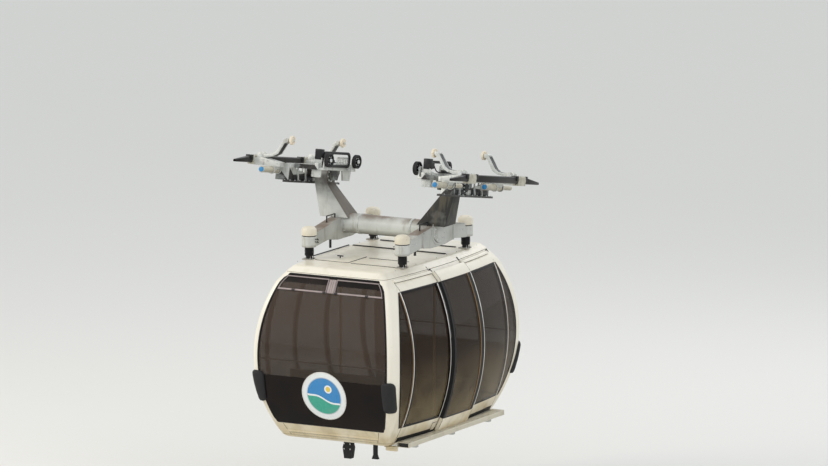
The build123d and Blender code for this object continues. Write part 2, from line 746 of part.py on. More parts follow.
def grip(y):
    """Jaw band round the rope and sleeve, its arm to the truss, and the lever's boss and spring's saddle."""
    half = BAND / 2
    arm_half = BAND / 3
    spring_low = -SPRING_BELOW + SPRING_R
    half_w = SLEEVE_W / 2 + 5
    band = from_rope([(half_w, -34), (-half_w, -34), (-half_w - 5, 40), (-half_w, 78), (-half_w + 12, 92),
                      (half_w - 12, 92), (half_w, 78), (half_w + 5, 40)], y - half, y + half)
    arm_end = OUTER_PLATE_FROM_ROPE - CHORD / 2
    body = from_rope([(half_w, spring_low), (half_w, 60), (150, 70), (arm_end, 22), (arm_end, spring_low)],
                     y - arm_half, y + arm_half)
    x = ROPE_X - BOSS_FROM_ROPE
    z = ROPE_OVER_PIVOT + BOSS_OVER_ROPE
    boss_half = LEVER_SPREAD / 2 + LEVER_T + 8
    boss = rod((x, y - boss_half, z), (x, y + boss_half, z), BOSS_R)
    saddle_x = ROPE_X - SPRING_FROM_ROPE
    saddle_z = ROPE_OVER_PIVOT - SPRING_BELOW
    saddle = block(saddle_x - SPRING_R, saddle_x + SPRING_R, y - arm_half, y + arm_half, saddle_z,
                   saddle_z + SPRING_R)
    rope = rod((ROPE_X, y - BAND, ROPE_OVER_PIVOT), (ROPE_X, y + BAND, ROPE_OVER_PIVOT), ROPE_R + 0.1)
    return band + body + boss + saddle - spring(y) - rope


def lever(y):
    """Forked lever from the jaw's boss, bent up and inboard to the roller."""
    cheek = [(98, 60), (150, 60), (320, 74), (398, 112), (478, 262), (522, 296), (530, 340), (492, 348), (458, 326),
             (330, 166), (215, 120), (110, 120)]
    web = [(180, 78), (318, 88), (390, 128), (482, 300), (460, 312), (340, 150), (215, 106)]
    tip = [(472, 272), (522, 296), (530, 340), (492, 348), (466, 334)]
    half = LEVER_SPREAD / 2
    boss_x = ROPE_X - BOSS_FROM_ROPE
    boss_z = ROPE_OVER_PIVOT + BOSS_OVER_ROPE
    solid = from_rope(web, y - half, y + half) + from_rope(tip, y - half, y + half)
    for side in (-1, 1):
        y0, y1 = sorted((y + side * half, y + side * (half + LEVER_T)))
        solid += from_rope(cheek, y0, y1) + rod((boss_x, y0, boss_z), (boss_x, y1, boss_z), 1.5 * BOSS_R)
    x = ROPE_X - ROLLER_FROM_ROPE
    z = ROPE_OVER_PIVOT + ROLLER_OVER_ROPE
    solid += rod((x + ROLLER_W, y, z), (x - ROLLER_W - 14, y, z), ROLLER_PIN_R)
    bore = rod((boss_x, y - BAND, boss_z), (boss_x, y + BAND, boss_z), BOSS_R + 0.5)
    return solid - bore - grip(y)


def roller(y):
    """Roller on a lever's tip."""
    x = ROPE_X - ROLLER_FROM_ROPE
    z = ROPE_OVER_PIVOT + ROLLER_OVER_ROPE
    disc = rod((x - ROLLER_W, y, z), (x, y, z), ROLLER_R)
    disc = fillet(disc.edges(), 8)
    return disc - rod((x - REACH, y, z), (x + REACH, y, z), ROLLER_PIN_R) - lever(y)


def spring(y):
    """Spring tube beside a grip, with a small cap at its near end and a thinner housing at its far end."""
    x = ROPE_X - SPRING_FROM_ROPE
    z = ROPE_OVER_PIVOT - SPRING_BELOW
    start = y - SPRING_AHEAD
    end = start + SPRING_LENGTH
    solid = rod((x, start, z), (x, end, z), SPRING_R)
    solid += rod((x, start - 14, z), (x, start, z), SPRING_R * 0.75)
    return solid + rod((x, end, z), (x, end + 0.6 * SPRING_LENGTH, z), SPRING_REAR_R)


def rope_sleeve():
    """Guide sleeve over the rope: a middle run between the bands and two tapered ends."""
    near, far = GRIP_PLACES
    half = BAND / 2
    groove = rod((ROPE_X, -REACH, ROPE_OVER_PIVOT), (ROPE_X, REACH, ROPE_OVER_PIVOT), ROPE_R + 1)
    low = ROPE_OVER_PIVOT - 12

    def section(y, width, height):
        plane = Plane(origin=(ROPE_X, y, low + height / 2), x_dir=(1, 0, 0), z_dir=(0, 1, 0))
        return plane * RectangleRounded(width, height, min(width, height) * 0.24)

    pieces = [extrude(section(near + half, SLEEVE_W, SLEEVE_H), far - near - BAND)]
    for y, way in ((near, -1), (far, 1)):
        pieces.append(loft([section(y + way * half, SLEEVE_W, SLEEVE_H),
                            section(y + way * (half + SLEEVE_TAPER), SLEEVE_W * 0.6, SLEEVE_H * 0.36)]))
    return [piece - groove for piece in pieces]


def guard():
    """Rounded loop that stands beside the inner beam, between the wheels."""
    low = TRUSS_HIGH - CHORD / 3
    x1 = INNER_BEAM_X - INNER_BEAM_W / 2
    plane = Plane(origin=(x1 - GUARD_T, GEAR_SHIFT, low + GUARD_H / 2), x_dir=(0, 1, 0), z_dir=(1, 0, 0))
    hole_half = GUARD_HALF - GUARD_BAR
    loop = plane * RectangleRounded(2 * GUARD_HALF, GUARD_H, GUARD_ROUND)
    hole = plane * RectangleRounded(2 * hole_half, GUARD_H - 2 * GUARD_BAR, GUARD_ROUND - GUARD_BAR)
    return extrude(loop, GUARD_T) - extrude(hole, GUARD_T)


def wheel(y):
    """Running wheel: hub, web and rim turned about the axle."""
    half = WHEEL_W / 2
    inner = AXLE_R + RUNNING_CLEARANCE
    hub = inner + 16
    rim = WHEEL_R - 24
    web = 10.0
    outline = [(inner, -half), (hub, -half), (hub, -web), (rim, -web), (rim, -half), (WHEEL_R, -half),
               (WHEEL_R, half), (rim, half), (rim, web), (hub, web), (hub, half), (inner, half)]
    face = make_face(Polyline(*[(WHEEL_X + x, y, WHEEL_Z + r) for r, x in outline], close=True))
    return revolve(face, Axis((WHEEL_X, y, WHEEL_Z), (1, 0, 0)), 360)


CABIN_NODES = {
    "roof_panel": [roof_panel()],
    "roof_strips": roof_strips(),
    "floor_panel": [floor_panel()],
    "end_frames": both_ends(end_frame()),
    "end_windows": both_ends(end_window()),
    "vent_frames": [copy for frame in vent_frames() for copy in both_ends(frame)],
    "handrails": both_ends(handrail()),
    "emblem_disc": [emblem_disc()],
    "bumpers": four_corners(bumper()),
    "door_side_wall": [side_wall(doorway())],
    "door_side_windows": side_panes(side_openings()),
    "far_side_wall": [mirror(side_wall(middle_opening()), about=Plane.YZ)],
    "far_side_windows": [mirror(pane, about=Plane.YZ) for pane in side_panes([*side_openings(), middle_opening()])],
    "door_leaf": [door_leaf()],
    "door_glass": [door_glass()],
    "door_tracks": door_tracks(),
    "step": [step()],
    "underframe": [underframe()],
    "benches": both_ends(bench()),
    "grab_poles": grab_poles(),
    "guide_shoes": guide_shoes(),
}
HANGER_NODES = {
    "cross_tube": [cross_tube()],
    "side_beams": both_sides(side_beam()),
    "hanger_arms": both_sides(arm()),
    "damper_caps": four_corners(damper_cap()),
    "damper_rings": four_corners(damper_ring()),
    "damper_rods": four_corners(damper_rod()),
}
CARRIAGE_NODES = {
    "frame": [carriage_frame()],
    "grips": [grip(y) for y in GRIP_PLACES],
    "rope_sleeve": rope_sleeve(),
    "levers": [lever(y) for y in GRIP_PLACES],
    "lever_rollers": [roller(y) for y in GRIP_PLACES],
    "springs": [spring(y) for y in GRIP_PLACES],
    "guard": [guard()],
    "front_wheel": [wheel(WHEEL_PLACES[1])],
    "rear_wheel": [wheel(WHEEL_PLACES[0])],
}

for name, shapes in {**CABIN_NODES, **HANGER_NODES}.items():
    save(name, shapes)
for name, shapes in CARRIAGE_NODES.items():
    leaning = [on_rope(shape) for shape in shapes]
    save(f"right_{name}", leaning)
    save(f"left_{name}", [mirror(shape, about=Plane.YZ) for shape in leaning])
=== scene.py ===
import json
import math

import bmesh
import bpy
from mathutils import Matrix, Vector
from mathutils.geometry import delaunay_2d_cdt

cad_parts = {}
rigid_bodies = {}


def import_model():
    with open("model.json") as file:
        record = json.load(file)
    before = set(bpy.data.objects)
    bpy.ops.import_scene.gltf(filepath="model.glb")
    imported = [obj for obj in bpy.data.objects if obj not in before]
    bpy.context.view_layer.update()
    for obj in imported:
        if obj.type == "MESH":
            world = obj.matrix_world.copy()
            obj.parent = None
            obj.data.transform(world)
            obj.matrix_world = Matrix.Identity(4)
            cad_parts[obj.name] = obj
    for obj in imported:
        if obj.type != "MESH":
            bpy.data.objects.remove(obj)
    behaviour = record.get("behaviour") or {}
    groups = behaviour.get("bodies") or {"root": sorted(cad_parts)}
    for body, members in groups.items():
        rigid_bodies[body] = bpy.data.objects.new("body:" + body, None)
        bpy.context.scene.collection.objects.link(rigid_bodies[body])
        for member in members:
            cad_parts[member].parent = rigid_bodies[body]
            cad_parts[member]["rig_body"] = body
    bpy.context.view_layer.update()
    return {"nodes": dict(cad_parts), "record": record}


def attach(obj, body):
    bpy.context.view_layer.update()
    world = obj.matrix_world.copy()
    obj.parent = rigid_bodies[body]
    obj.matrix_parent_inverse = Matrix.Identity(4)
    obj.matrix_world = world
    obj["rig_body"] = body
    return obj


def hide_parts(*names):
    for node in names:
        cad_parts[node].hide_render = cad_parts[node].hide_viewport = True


# A cable car cabin hung from two grip carriages. Metres, +Z up, +Y along the line of travel, +X towards the
# door side.

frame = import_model()
SLOTS = {part["node"]: part["material_slot"] for part in frame["record"]["subparts"]}

# Sizes that the solids share
ROOF_Z = -1.085
BOTTOM_Z = -3.380
BULGE_Z = -2.260
SHOULDER_Z = -1.300
SEAM_Z = -1.165
HALF_WIDTH = 1.195
HALF_LENGTH = 1.780
SIDE_BULGE_R = 2.150
END_BULGE_R = 1.880
PLAN_R = 10.5
ROOF_EDGE_X = 0.800
ROOF_EDGE_DROP = 0.030
CORNER_R = 0.062
WALL = 0.045
POST_DEPTH = 0.155
END_GLASS_TOP = -1.180
END_GLASS_LOW = -3.160
END_GLASS_SIDE = 0.075
SIDE_GLASS_TOP = -1.330
SIDE_GLASS_LOW = -3.125
GLASS_INSET = 0.003
GLASS_T = 0.012
DOOR_HALF = 0.410
MULLION = 0.025
WIDE_PANE = 0.850
DOOR_GAP = 0.010
DOOR_T = 0.045
DOOR_TOP = -1.215
DOOR_LOW = -3.300
DOOR_STILE = 0.038
DOOR_TRAVEL = 0.880
STEP_TOP = -3.318
STEP_IN = 0.865
STEP_OUT = 1.045
STEP_HALF = 1.325
BUMPER_LOW = -2.870
BUMPER_HIGH = -2.450
BUMPER_PROUD = 0.038
DISC_Z = -2.720
DISC_R = 0.330
TUBE_Z = -0.720
TUBE_R = 0.130
BEAM_X = 0.700
BEAM_HALF = 0.065
DAMPER_Y = 0.870
DAMPER_R = 0.098
DAMPER_LOW = -0.920
DAMPER_HIGH = -0.777
CAP_LOW = -0.765
CAP_R = 0.103
CAP_H = 0.115
SLOPE = math.radians(9.6)
PIVOT_DROP = 0.110
SLEEVE_X = 1.620
SLEEVE_Z = PIVOT_DROP * math.cos(SLOPE)
SPRING_X = SLEEVE_X - 0.320
SPRING_Z = SLEEVE_Z - 0.083
GRIP_PLACES = (-0.745, 0.645)
WHEEL_PLACES = {"rear": -0.430, "front": 0.330}
WHEEL_X = 0.665
WHEEL_Z = 0.205
INNER_BEAM_X = 0.800
OUTER_PLATE_X = 1.160

DAMPER_PLACES = [(x, y) for x in (-BEAM_X, BEAM_X) for y in (-DAMPER_Y, DAMPER_Y)]
SHELL_LOW = BOTTOM_Z + WALL
CABIN = "cabin_hanger"
DOOR = "door"
UP = (0, 0, 1)

# A side opening's distance from a post's seam, its heights, and the faces of panes and their printed borders
POST_GAP = 0.014
SIDE_GLASS = (SIDE_GLASS_LOW, SIDE_GLASS_TOP)
PANE = {"outer": GLASS_INSET, "inner": GLASS_INSET + GLASS_T, "bevel": 0.0015}
PRINT = {"outer": GLASS_INSET - 0.0012, "inner": GLASS_INSET - 0.0001, "bevel": 0.0004}


# Materials. Spots and streaks are sized in millimetres. Real grain, pebbling and brush lines are finer than a
# millimetre; they are drawn 3 to 17 mm wide, as coarse as they need to be to show.


def colour(code):
    """Linear colour from a hex code."""
    parts = [int(code[i:i + 2], 16) / 255 for i in (1, 3, 5)]
    linear = [c / 12.92 if c <= 0.04045 else ((c + 0.055) / 1.055) ** 2.4 for c in parts]
    return (*linear, 1.0)


class Shader:
    """One node material, built up by adding nodes with their settings and links."""

    def __init__(self, name, base, roughness, metallic=0.0, **sockets):
        self.material = bpy.data.materials.new(name)
        self.material.use_nodes = True
        self.tree = self.material.node_tree
        self.surface = self.tree.nodes["Principled BSDF"]
        self.surface.inputs["Base Color"].default_value = colour(base)
        self.surface.inputs["Roughness"].default_value = roughness
        self.surface.inputs["Metallic"].default_value = metallic
        for socket, value in sockets.items():
            self.surface.inputs[socket.replace("_", " ").title().replace("Ior", "IOR")].default_value = value
        self.material.diffuse_color = colour(base)
        self.place = self.node("ShaderNodeTexCoord").outputs["Object"]
        self.shade = None

    def node(self, kind, inputs=None, **settings):
        """A node with its settings; an input is a value or another node's output."""
        made = self.tree.nodes.new(kind)
        for key, value in settings.items():
            setattr(made, key, value)
        for key, value in (inputs or {}).items():
            if isinstance(value, bpy.types.NodeSocket):
                self.tree.links.new(value, made.inputs[key])
            else:
                made.inputs[key].default_value = value
        return made

    def maths(self, operation, *values):
        """The result of a Math node."""
        return self.node("ShaderNodeMath", dict(enumerate(values)), operation=operation).outputs[0]

    def times(self, *values):
        """The product of several values."""
        product = values[0]
        for value in values[1:]:
            product = self.maths("MULTIPLY", product, value)
        return product

    def plus(self, first, second):
        """The sum of two values."""
        return self.maths("ADD", first, second)

    def less(self, value, limit):
        """1 where a value is below the limit."""
        return self.maths("LESS_THAN", value, limit)

    def distance(self, first, second):
        """The length of a line with two square parts."""
        return self.maths("SQRT", self.plus(self.times(first, first), self.times(second, second)))

    def noise(self, size, detail=3.0, roughness=0.55):
        """A noise whose spots are size millimetres wide, or of one size along each axis for streaks."""
        place = self.place
        scale = 1.0
        if isinstance(size, tuple):
            stretch = [1000 / length for length in size]
            place = self.node("ShaderNodeMapping", {"Vector": place, "Scale": stretch}).outputs[0]
        else:
            scale = 1000 / size
        inputs = {"Vector": place, "Scale": scale, "Detail": detail, "Roughness": roughness}
        return self.node("ShaderNodeTexNoise", inputs).outputs[0]

    def ramp(self, value, low, high):
        """A value stretched so that low becomes 0 and high becomes 1, held between the two."""
        inputs = {"Value": value, "From Min": low, "From Max": high}
        return self.node("ShaderNodeMapRange", inputs, clamp=True).outputs[0]

    def along(self, axis):
        """The place along an axis."""
        return self.node("ShaderNodeSeparateXYZ", {0: self.place}).outputs[axis]

    def facing(self, axis):
        """How far the surface faces along an axis."""
        normal = self.node("ShaderNodeNewGeometry").outputs["Normal"]
        return self.node("ShaderNodeSeparateXYZ", {0: normal}).outputs[axis]

    def worn_edge(self, radius):
        """1 on sharp edges, from the difference between the true and the rounded normal; millimetres."""
        rounded_normal = self.node("ShaderNodeBevel", {"Radius": radius / 1000}, samples=4).outputs[0]
        true_normal = self.node("ShaderNodeNewGeometry").outputs["Normal"]
        likeness = self.node("ShaderNodeVectorMath", {0: rounded_normal, 1: true_normal},
                             operation="DOT_PRODUCT")
        return self.ramp(likeness.outputs["Value"], 0.985, 0.86)

    def lay(self, code, amount, *masks):
        """Lays a colour over the base colour; a mask is a value, or a value with its ramp's two ends."""
        shares = [self.ramp(*mask) if isinstance(mask, tuple) else mask for mask in masks]
        inputs = {0: self.times(*shares, amount), 7: colour(code)}
        mixed = self.node("ShaderNodeMix", inputs, data_type="RGBA")
        if self.shade is None:
            mixed.inputs[6].default_value = self.surface.inputs["Base Color"].default_value
        else:
            self.tree.links.new(self.shade, mixed.inputs[6])
        self.shade = mixed.outputs[2]
        self.tree.links.new(self.shade, self.surface.inputs["Base Color"])

    def rough(self, value, low, high):
        """Roughness that varies between low and high."""
        varied = self.node("ShaderNodeMapRange", {"Value": value, "To Min": low, "To Max": high}, clamp=True)
        self.tree.links.new(varied.outputs[0], self.surface.inputs["Roughness"])

    def bump(self, value, depth, strength):
        """Surface relief, with its depth in millimetres."""
        relief = self.node("ShaderNodeBump",
                           {"Height": value, "Distance": depth / 1000, "Strength": strength})
        self.tree.links.new(relief.outputs[0], self.surface.inputs["Normal"])


def cream_paint():
    """Gloss cream coat: faint chalking, an ochre film low down, soft runs and dust on upper faces."""
    shader = Shader("cream_paint", "#F2ECDC", 0.34, coat_weight=0.2, coat_roughness=0.2)
    cloud = shader.noise(769.2, 4.0)
    shader.lay("#DDD5C3", 0.30, (cloud, 0.4, 0.75))
    shader.lay("#CDBA8E", 0.85, (shader.along(2), -2.45, -3.36), (shader.noise(476.2, 3.0), 0.2, 0.55))
    runs = shader.noise((142.9, 142.9, 1250), 3.0, 0.5)
    shader.lay("#A6946C", 0.42, (shader.along(2), -2.75, -3.34), (runs, 0.48, 0.68))
    shader.lay("#BDAF92", 0.22, (shader.along(2), -1.42, -1.18), (runs, 0.5, 0.72))
    shader.lay("#D2C4A2", 0.30, (shader.facing(2), 0.75, 0.98), (shader.noise(312.5, 5.0), 0.36, 0.66))
    shader.lay("#9C9079", 0.22, (shader.noise(33.33, 2.0), 0.68, 0.75))
    shader.rough(cloud, 0.27, 0.45)
    shader.bump(shader.noise(11.11, 2.0), 0.6, 0.2)
    return shader.material


def grey_coat(name, painted_shade):
    """Satin grey coat, rusty on top and in runs; painted shade darkens the faces that look down and the faces
    towards the door, and a patchy painted shadow of the carriages darkens the band just under the top.
    """
    shader = Shader(name, "#D0D2CC", 0.5)
    cloud = shader.noise(333.3, 5.0)
    height = shader.along(2)
    shader.lay("#A0A29B", 0.45, (cloud, 0.42, 0.7))
    shader.lay("#7B6A56", 0.5, (shader.noise((125, 125, 714.3), 4.0, 0.6), 0.56, 0.72))
    shader.lay("#6B5039", 0.78, (shader.facing(2), 0.4, 0.95), (cloud, 0.28, 0.55))
    # Painted shade on the faces that look down.
    shader.lay("#45403A", 0.75, (shader.facing(2), -0.3, -0.9))
    # Painted shadow of the carriages, in a patchy band just under the top.
    shader.lay("#4A4138", 0.62, (height, -0.50, -0.16), (shader.noise(200, 5.0), 0.3, 0.6),
               (height, 0.0, -0.14))
    # Painted shade on the faces towards the door.
    shader.lay("#54473A", painted_shade, (shader.facing(0), 0.35, 0.7), (shader.noise(384.6, 4.0), 0.05, 0.4))
    # More painted shadow of the carriages in the upper band.
    shader.lay("#3B352E", painted_shade, (height, -0.42, -0.20), (cloud, 0.3, 0.55))
    shader.lay("#6E4A30", 0.6, shader.worn_edge(6), (shader.noise(71.43, 4.0), 0.42, 0.6))
    shader.rough(cloud, 0.42, 0.66)
    shader.bump(shader.noise(16.67, 3.0), 0.8, 0.35)
    return shader


def grey_paint():
    """The hanger's grey coat."""
    return grey_coat("grey_paint", 0.25).material


def arm_paint():
    """The arms' grey coat; the arm on the door side is dark nearly all over in a painted shadow of the
    carriage above, with brown runs.
    """
    shader = grey_coat("arm_paint", 0.85)
    # Painted shadow of the carriage over the arm on the door side.
    shadow_area = shader.times(shader.ramp(shader.along(0), 0.30, 0.50),
                         shader.ramp(shader.noise(555.6, 4.0), 0.1, 0.42))
    shader.lay("#262522", 1.0, shadow_area)
    shader.lay("#5E5746", 0.6, shadow_area, (shader.noise((71.43, 71.43, 1111), 4.0, 0.6), 0.5, 0.62))
    return shader.material


def greasy_shaded_steel():
    """Carriage steel under black grease, with pale patches where the paint still shows; on the frames it also
    stands for painted shade low down and in the recess.
    """
    shader = Shader("greasy_shaded_steel", "#2C2B29", 0.5, metallic=0.15)
    patch = shader.noise(181.8, 4.0)
    shader.lay("#868B88", 0.8, (patch, 0.5, 0.62))
    shader.lay("#54493C", 0.5, (shader.noise(41.67, 4.0), 0.52, 0.7))
    shader.lay("#A2A39C", 0.5, shader.worn_edge(4))
    shader.rough(patch, 0.34, 0.62)
    shader.bump(shader.noise(11.11, 3.0), 0.6, 0.4)
    return shader.material


def silver_paint():
    """Pale silver coat of the carriages' plates, chipped along edges and stained round fasteners, with
    painted shade on the faces that look down.
    """
    shader = Shader("silver_paint", "#CFD1CC", 0.42, metallic=0.25)
    cloud = shader.noise(166.7, 5.0)
    shader.lay("#ADB0AA", 0.5, (cloud, 0.42, 0.68))
    shader.lay("#6D6557", 0.62, (shader.noise((71.43, 111.1, 250), 5.0, 0.62), 0.54, 0.7))
    # Painted shade on the faces that look down.
    shader.lay("#4B463F", 0.7, (shader.facing(2), -0.3, -0.9))
    shader.lay("#5A4838", 0.7, shader.worn_edge(4), (shader.noise(33.33, 4.0), 0.4, 0.58))
    shader.rough(cloud, 0.34, 0.58)
    shader.bump(shader.noise(11.11, 3.0), 0.6, 0.35)
    return shader.material


def tinted_glass(name, tint, low_shade, amount, start, gloss):
    """Brown tinted pane with a thin dusty film, and another shade from the start height down."""
    shader = Shader(name, tint, 0.03, alpha=0.60, ior=1.52, specular_ior_level=gloss)
    film = shader.ramp(shader.noise(909.1, 4.0), 0.35, 0.8)
    shader.lay("#3A2F27", 0.3, film)
    shader.lay(low_shade, amount, (shader.along(2), start, -3.0), (shader.noise(416.7, 4.0), 0.15, 0.6))
    shader.rough(film, 0.02, 0.08)
    shader.material.surface_render_method = "BLENDED"
    return shader.material


def dark_glass():
    """Side panes, dusty low down."""
    return tinted_glass("dark_glass", "#33261A", "#94825F", 0.62, -2.2, 0.12)


def end_glass():
    """End panes, darker low down."""
    return tinted_glass("end_glass", "#4A3A2C", "#120C09", 0.95, -1.75, 0.45)


def black_border():
    """Black enamel printed on the glass, glossy, with a brown dust bloom."""
    shader = Shader("black_border", "#0F0A08", 0.16, specular_ior_level=0.18)
    film = shader.noise(454.5, 4.0)
    shader.lay("#2A1812", 0.4, (film, 0.4, 0.8))
    shader.rough(film, 0.1, 0.22)
    return shader.material


def black_rubber():
    """Matte rubber with a chalky bloom."""
    shader = Shader("black_rubber", "#141416", 0.72)
    bloom = shader.noise(111.1, 5.0)
    shader.lay("#302F30", 0.45, (bloom, 0.45, 0.75))
    shader.rough(bloom, 0.55, 0.85)
    shader.bump(shader.noise(3.846, 3.0), 0.6, 0.5)
    return shader.material


def black_steel():
    """Dark painted steel with worn, greasy patches."""
    shader = Shader("black_steel", "#17181A", 0.42, metallic=0.2)
    wear = shader.noise(83.33, 5.0)
    shader.lay("#3B3531", 0.45, (wear, 0.55, 0.75))
    shader.lay("#77726A", 0.6, shader.worn_edge(4), (wear, 0.38, 0.6))
    shader.rough(wear, 0.32, 0.6)
    shader.bump(shader.noise(8.333, 3.0), 0.6, 0.4)
    return shader.material


def sleeve_steel():
    """Blackened, greased sleeve with fine turning lines along it and a rub on top."""
    shader = Shader("sleeve_steel", "#1B1918", 0.36, metallic=0.35)
    wear = shader.noise((33.33, 400, 33.33), 4.0, 0.6)
    shader.lay("#3A322B", 0.5, (wear, 0.5, 0.72))
    shader.lay("#6A625A", 0.4, (shader.facing(2), 0.8, 1.0), (wear, 0.42, 0.6))
    shader.rough(wear, 0.26, 0.5)
    shader.bump(wear, 0.5, 0.4)
    return shader.material


def bright_steel():
    """Zinc-plated steel, lightly brushed, with dull spots and grease in corners."""
    shader = Shader("bright_steel", "#DCDEDD", 0.3, metallic=0.7)
    spots = shader.noise(62.5, 4.0)
    shader.lay("#A6A59E", 0.45, (spots, 0.5, 0.72))
    shader.lay("#574B3F", 0.6, (shader.noise(142.9, 5.0), 0.56, 0.72))
    shader.lay("#F1F1EE", 0.5, shader.worn_edge(3))
    shader.rough(spots, 0.22, 0.42)
    shader.bump(shader.noise((16.67, 3.333, 3.333), 3.0, 0.6), 0.4, 0.3)
    return shader.material


def trim_steel():
    """Polished trim strip, slightly hazed."""
    shader = Shader("trim_steel", "#E8E6E0", 0.2, metallic=0.75)
    haze = shader.noise((33.33, 33.33, 200), 3.0, 0.5)
    shader.lay("#B9AE98", 0.4, (haze, 0.5, 0.75))
    shader.rough(haze, 0.14, 0.34)
    return shader.material


def band_enamel():
    """Pale grey-green clamp bands, scuffed, with dark grease at the edges."""
    shader = Shader("band_enamel", "#BDB9A9", 0.48)
    cloud = shader.noise(71.43, 5.0)
    shader.lay("#8D8875", 0.6, (cloud, 0.42, 0.66))
    shader.lay("#3B352C", 0.7, (shader.noise(26.32, 4.0), 0.6, 0.7))
    shader.rough(cloud, 0.4, 0.62)
    shader.bump(cloud, 0.8, 0.4)
    return shader.material


def tube_enamel():
    """Light stone enamel of the spring tubes, darker beneath in painted shade."""
    shader = Shader("tube_enamel", "#CBC5B2", 0.4)
    cloud = shader.noise(111.1, 5.0)
    shader.lay("#A79F88", 0.5, (cloud, 0.45, 0.7))
    # Painted shade on the faces that look down.
    shader.lay("#5D564A", 0.55, (shader.facing(2), 0.2, -0.8))
    shader.rough(cloud, 0.3, 0.55)
    shader.bump(shader.noise(14.29, 3.0), 0.5, 0.3)
    return shader.material


def cream_plastic():
    """Sun-bleached cream plastic with dusty tops, and painted shade on the faces that look down."""
    shader = Shader("cream_plastic", "#E6DECB", 0.48)
    fade = shader.noise(166.7, 4.0)
    shader.lay("#D2C4A6", 0.45, (fade, 0.45, 0.72))
    shader.lay("#8D7F69", 0.5, (shader.noise(45.45, 4.0), 0.62, 0.74))
    # Painted shade on the faces that look down.
    shader.lay("#7A6A50", 0.5, (shader.facing(2), -0.2, -0.9))
    shader.rough(fade, 0.38, 0.58)
    shader.bump(shader.noise(6.667, 2.0), 0.5, 0.3)
    return shader.material


def roller_plastic():
    """Worn cream roller, browner at its middle."""
    shader = Shader("roller_plastic", "#EDE1CB", 0.5)
    wear = shader.noise(38.46, 4.0)
    shader.lay("#D6BF98", 0.4, (wear, 0.42, 0.68))
    shader.lay("#7E6040", 0.5, (shader.noise(16.67, 3.0), 0.6, 0.7))
    shader.rough(wear, 0.4, 0.62)
    shader.bump(wear, 0.6, 0.4)
    return shader.material


def housing_paint():
    """Light grey coat of the damper housings, streaked from the seam down."""
    shader = Shader("housing_paint", "#C9CAC4", 0.46)
    runs = shader.noise((41.67, 41.67, 250), 4.0, 0.6)
    shader.lay("#97907F", 0.55, (runs, 0.5, 0.7))
    shader.lay("#6B5B45", 0.6, (shader.along(2), -0.88, -0.93))
    shader.rough(runs, 0.38, 0.6)
    shader.bump(shader.noise(12.5, 3.0), 0.6, 0.3)
    return shader.material


def inner_plastic():
    """Dark moulded plastic with a fine leather grain."""
    shader = Shader("inner_plastic", "#241F1D", 0.6)
    shader.lay("#362F2B", 0.4, (shader.noise(250, 4.0), 0.4, 0.75))
    grain = shader.node("ShaderNodeTexVoronoi", {"Vector": shader.place, "Scale": 1000 / 3.125}).outputs[0]
    shader.bump(grain, 0.6, 0.4)
    return shader.material


def inner_lining():
    """Brown-grey ceiling and wall lining, finely pebbled."""
    shader = Shader("inner_lining", "#5A4E44", 0.7)
    shader.lay("#6B5E52", 0.4, (shader.noise(500, 4.0), 0.4, 0.75))
    shader.bump(shader.noise(4.545, 2.0), 0.5, 0.35)
    return shader.material


def pole_metal():
    """Warm brushed pole."""
    shader = Shader("pole_metal", "#E6BE74", 0.34, metallic=0.1)
    rub = shader.noise((25, 25, 250), 3.0, 0.6)
    shader.lay("#F2DCA8", 0.4, (rub, 0.45, 0.7))
    shader.rough(rub, 0.25, 0.42)
    return shader.material


def brown_anodised():
    """Gold-brown anodised window bar."""
    shader = Shader("brown_anodised", "#7A5B33", 0.35, metallic=0.5)
    rub = shader.noise((33.33, 33.33, 333.3), 3.0, 0.6)
    shader.lay("#A07D49", 0.5, (rub, 0.4, 0.7))
    shader.rough(rub, 0.28, 0.45)
    return shader.material


def vent_metal():
    """Rosy grey anodised frame with pale rubs."""
    shader = Shader("vent_metal", "#8E8281", 0.42, metallic=0.3)
    bloom = shader.noise(111.1, 5.0)
    shader.lay("#ADA19D", 0.45, (bloom, 0.45, 0.72))
    shader.rough(bloom, 0.32, 0.5)
    return shader.material


def aluminium():
    """Plain extruded aluminium with fine drawn lines, white bloom and tread dirt."""
    shader = Shader("aluminium", "#D2CBB8", 0.42, metallic=0.3)
    bloom = shader.noise(142.9, 5.0)
    shader.lay("#B7AE99", 0.5, (bloom, 0.45, 0.72))
    shader.lay("#8C8069", 0.45, (shader.facing(2), 0.7, 1.0), (shader.noise(83.33, 5.0), 0.4, 0.65))
    shader.rough(bloom, 0.34, 0.55)
    shader.bump(shader.noise((3.333, 125, 3.333), 3.0, 0.6), 0.3, 0.35)
    return shader.material


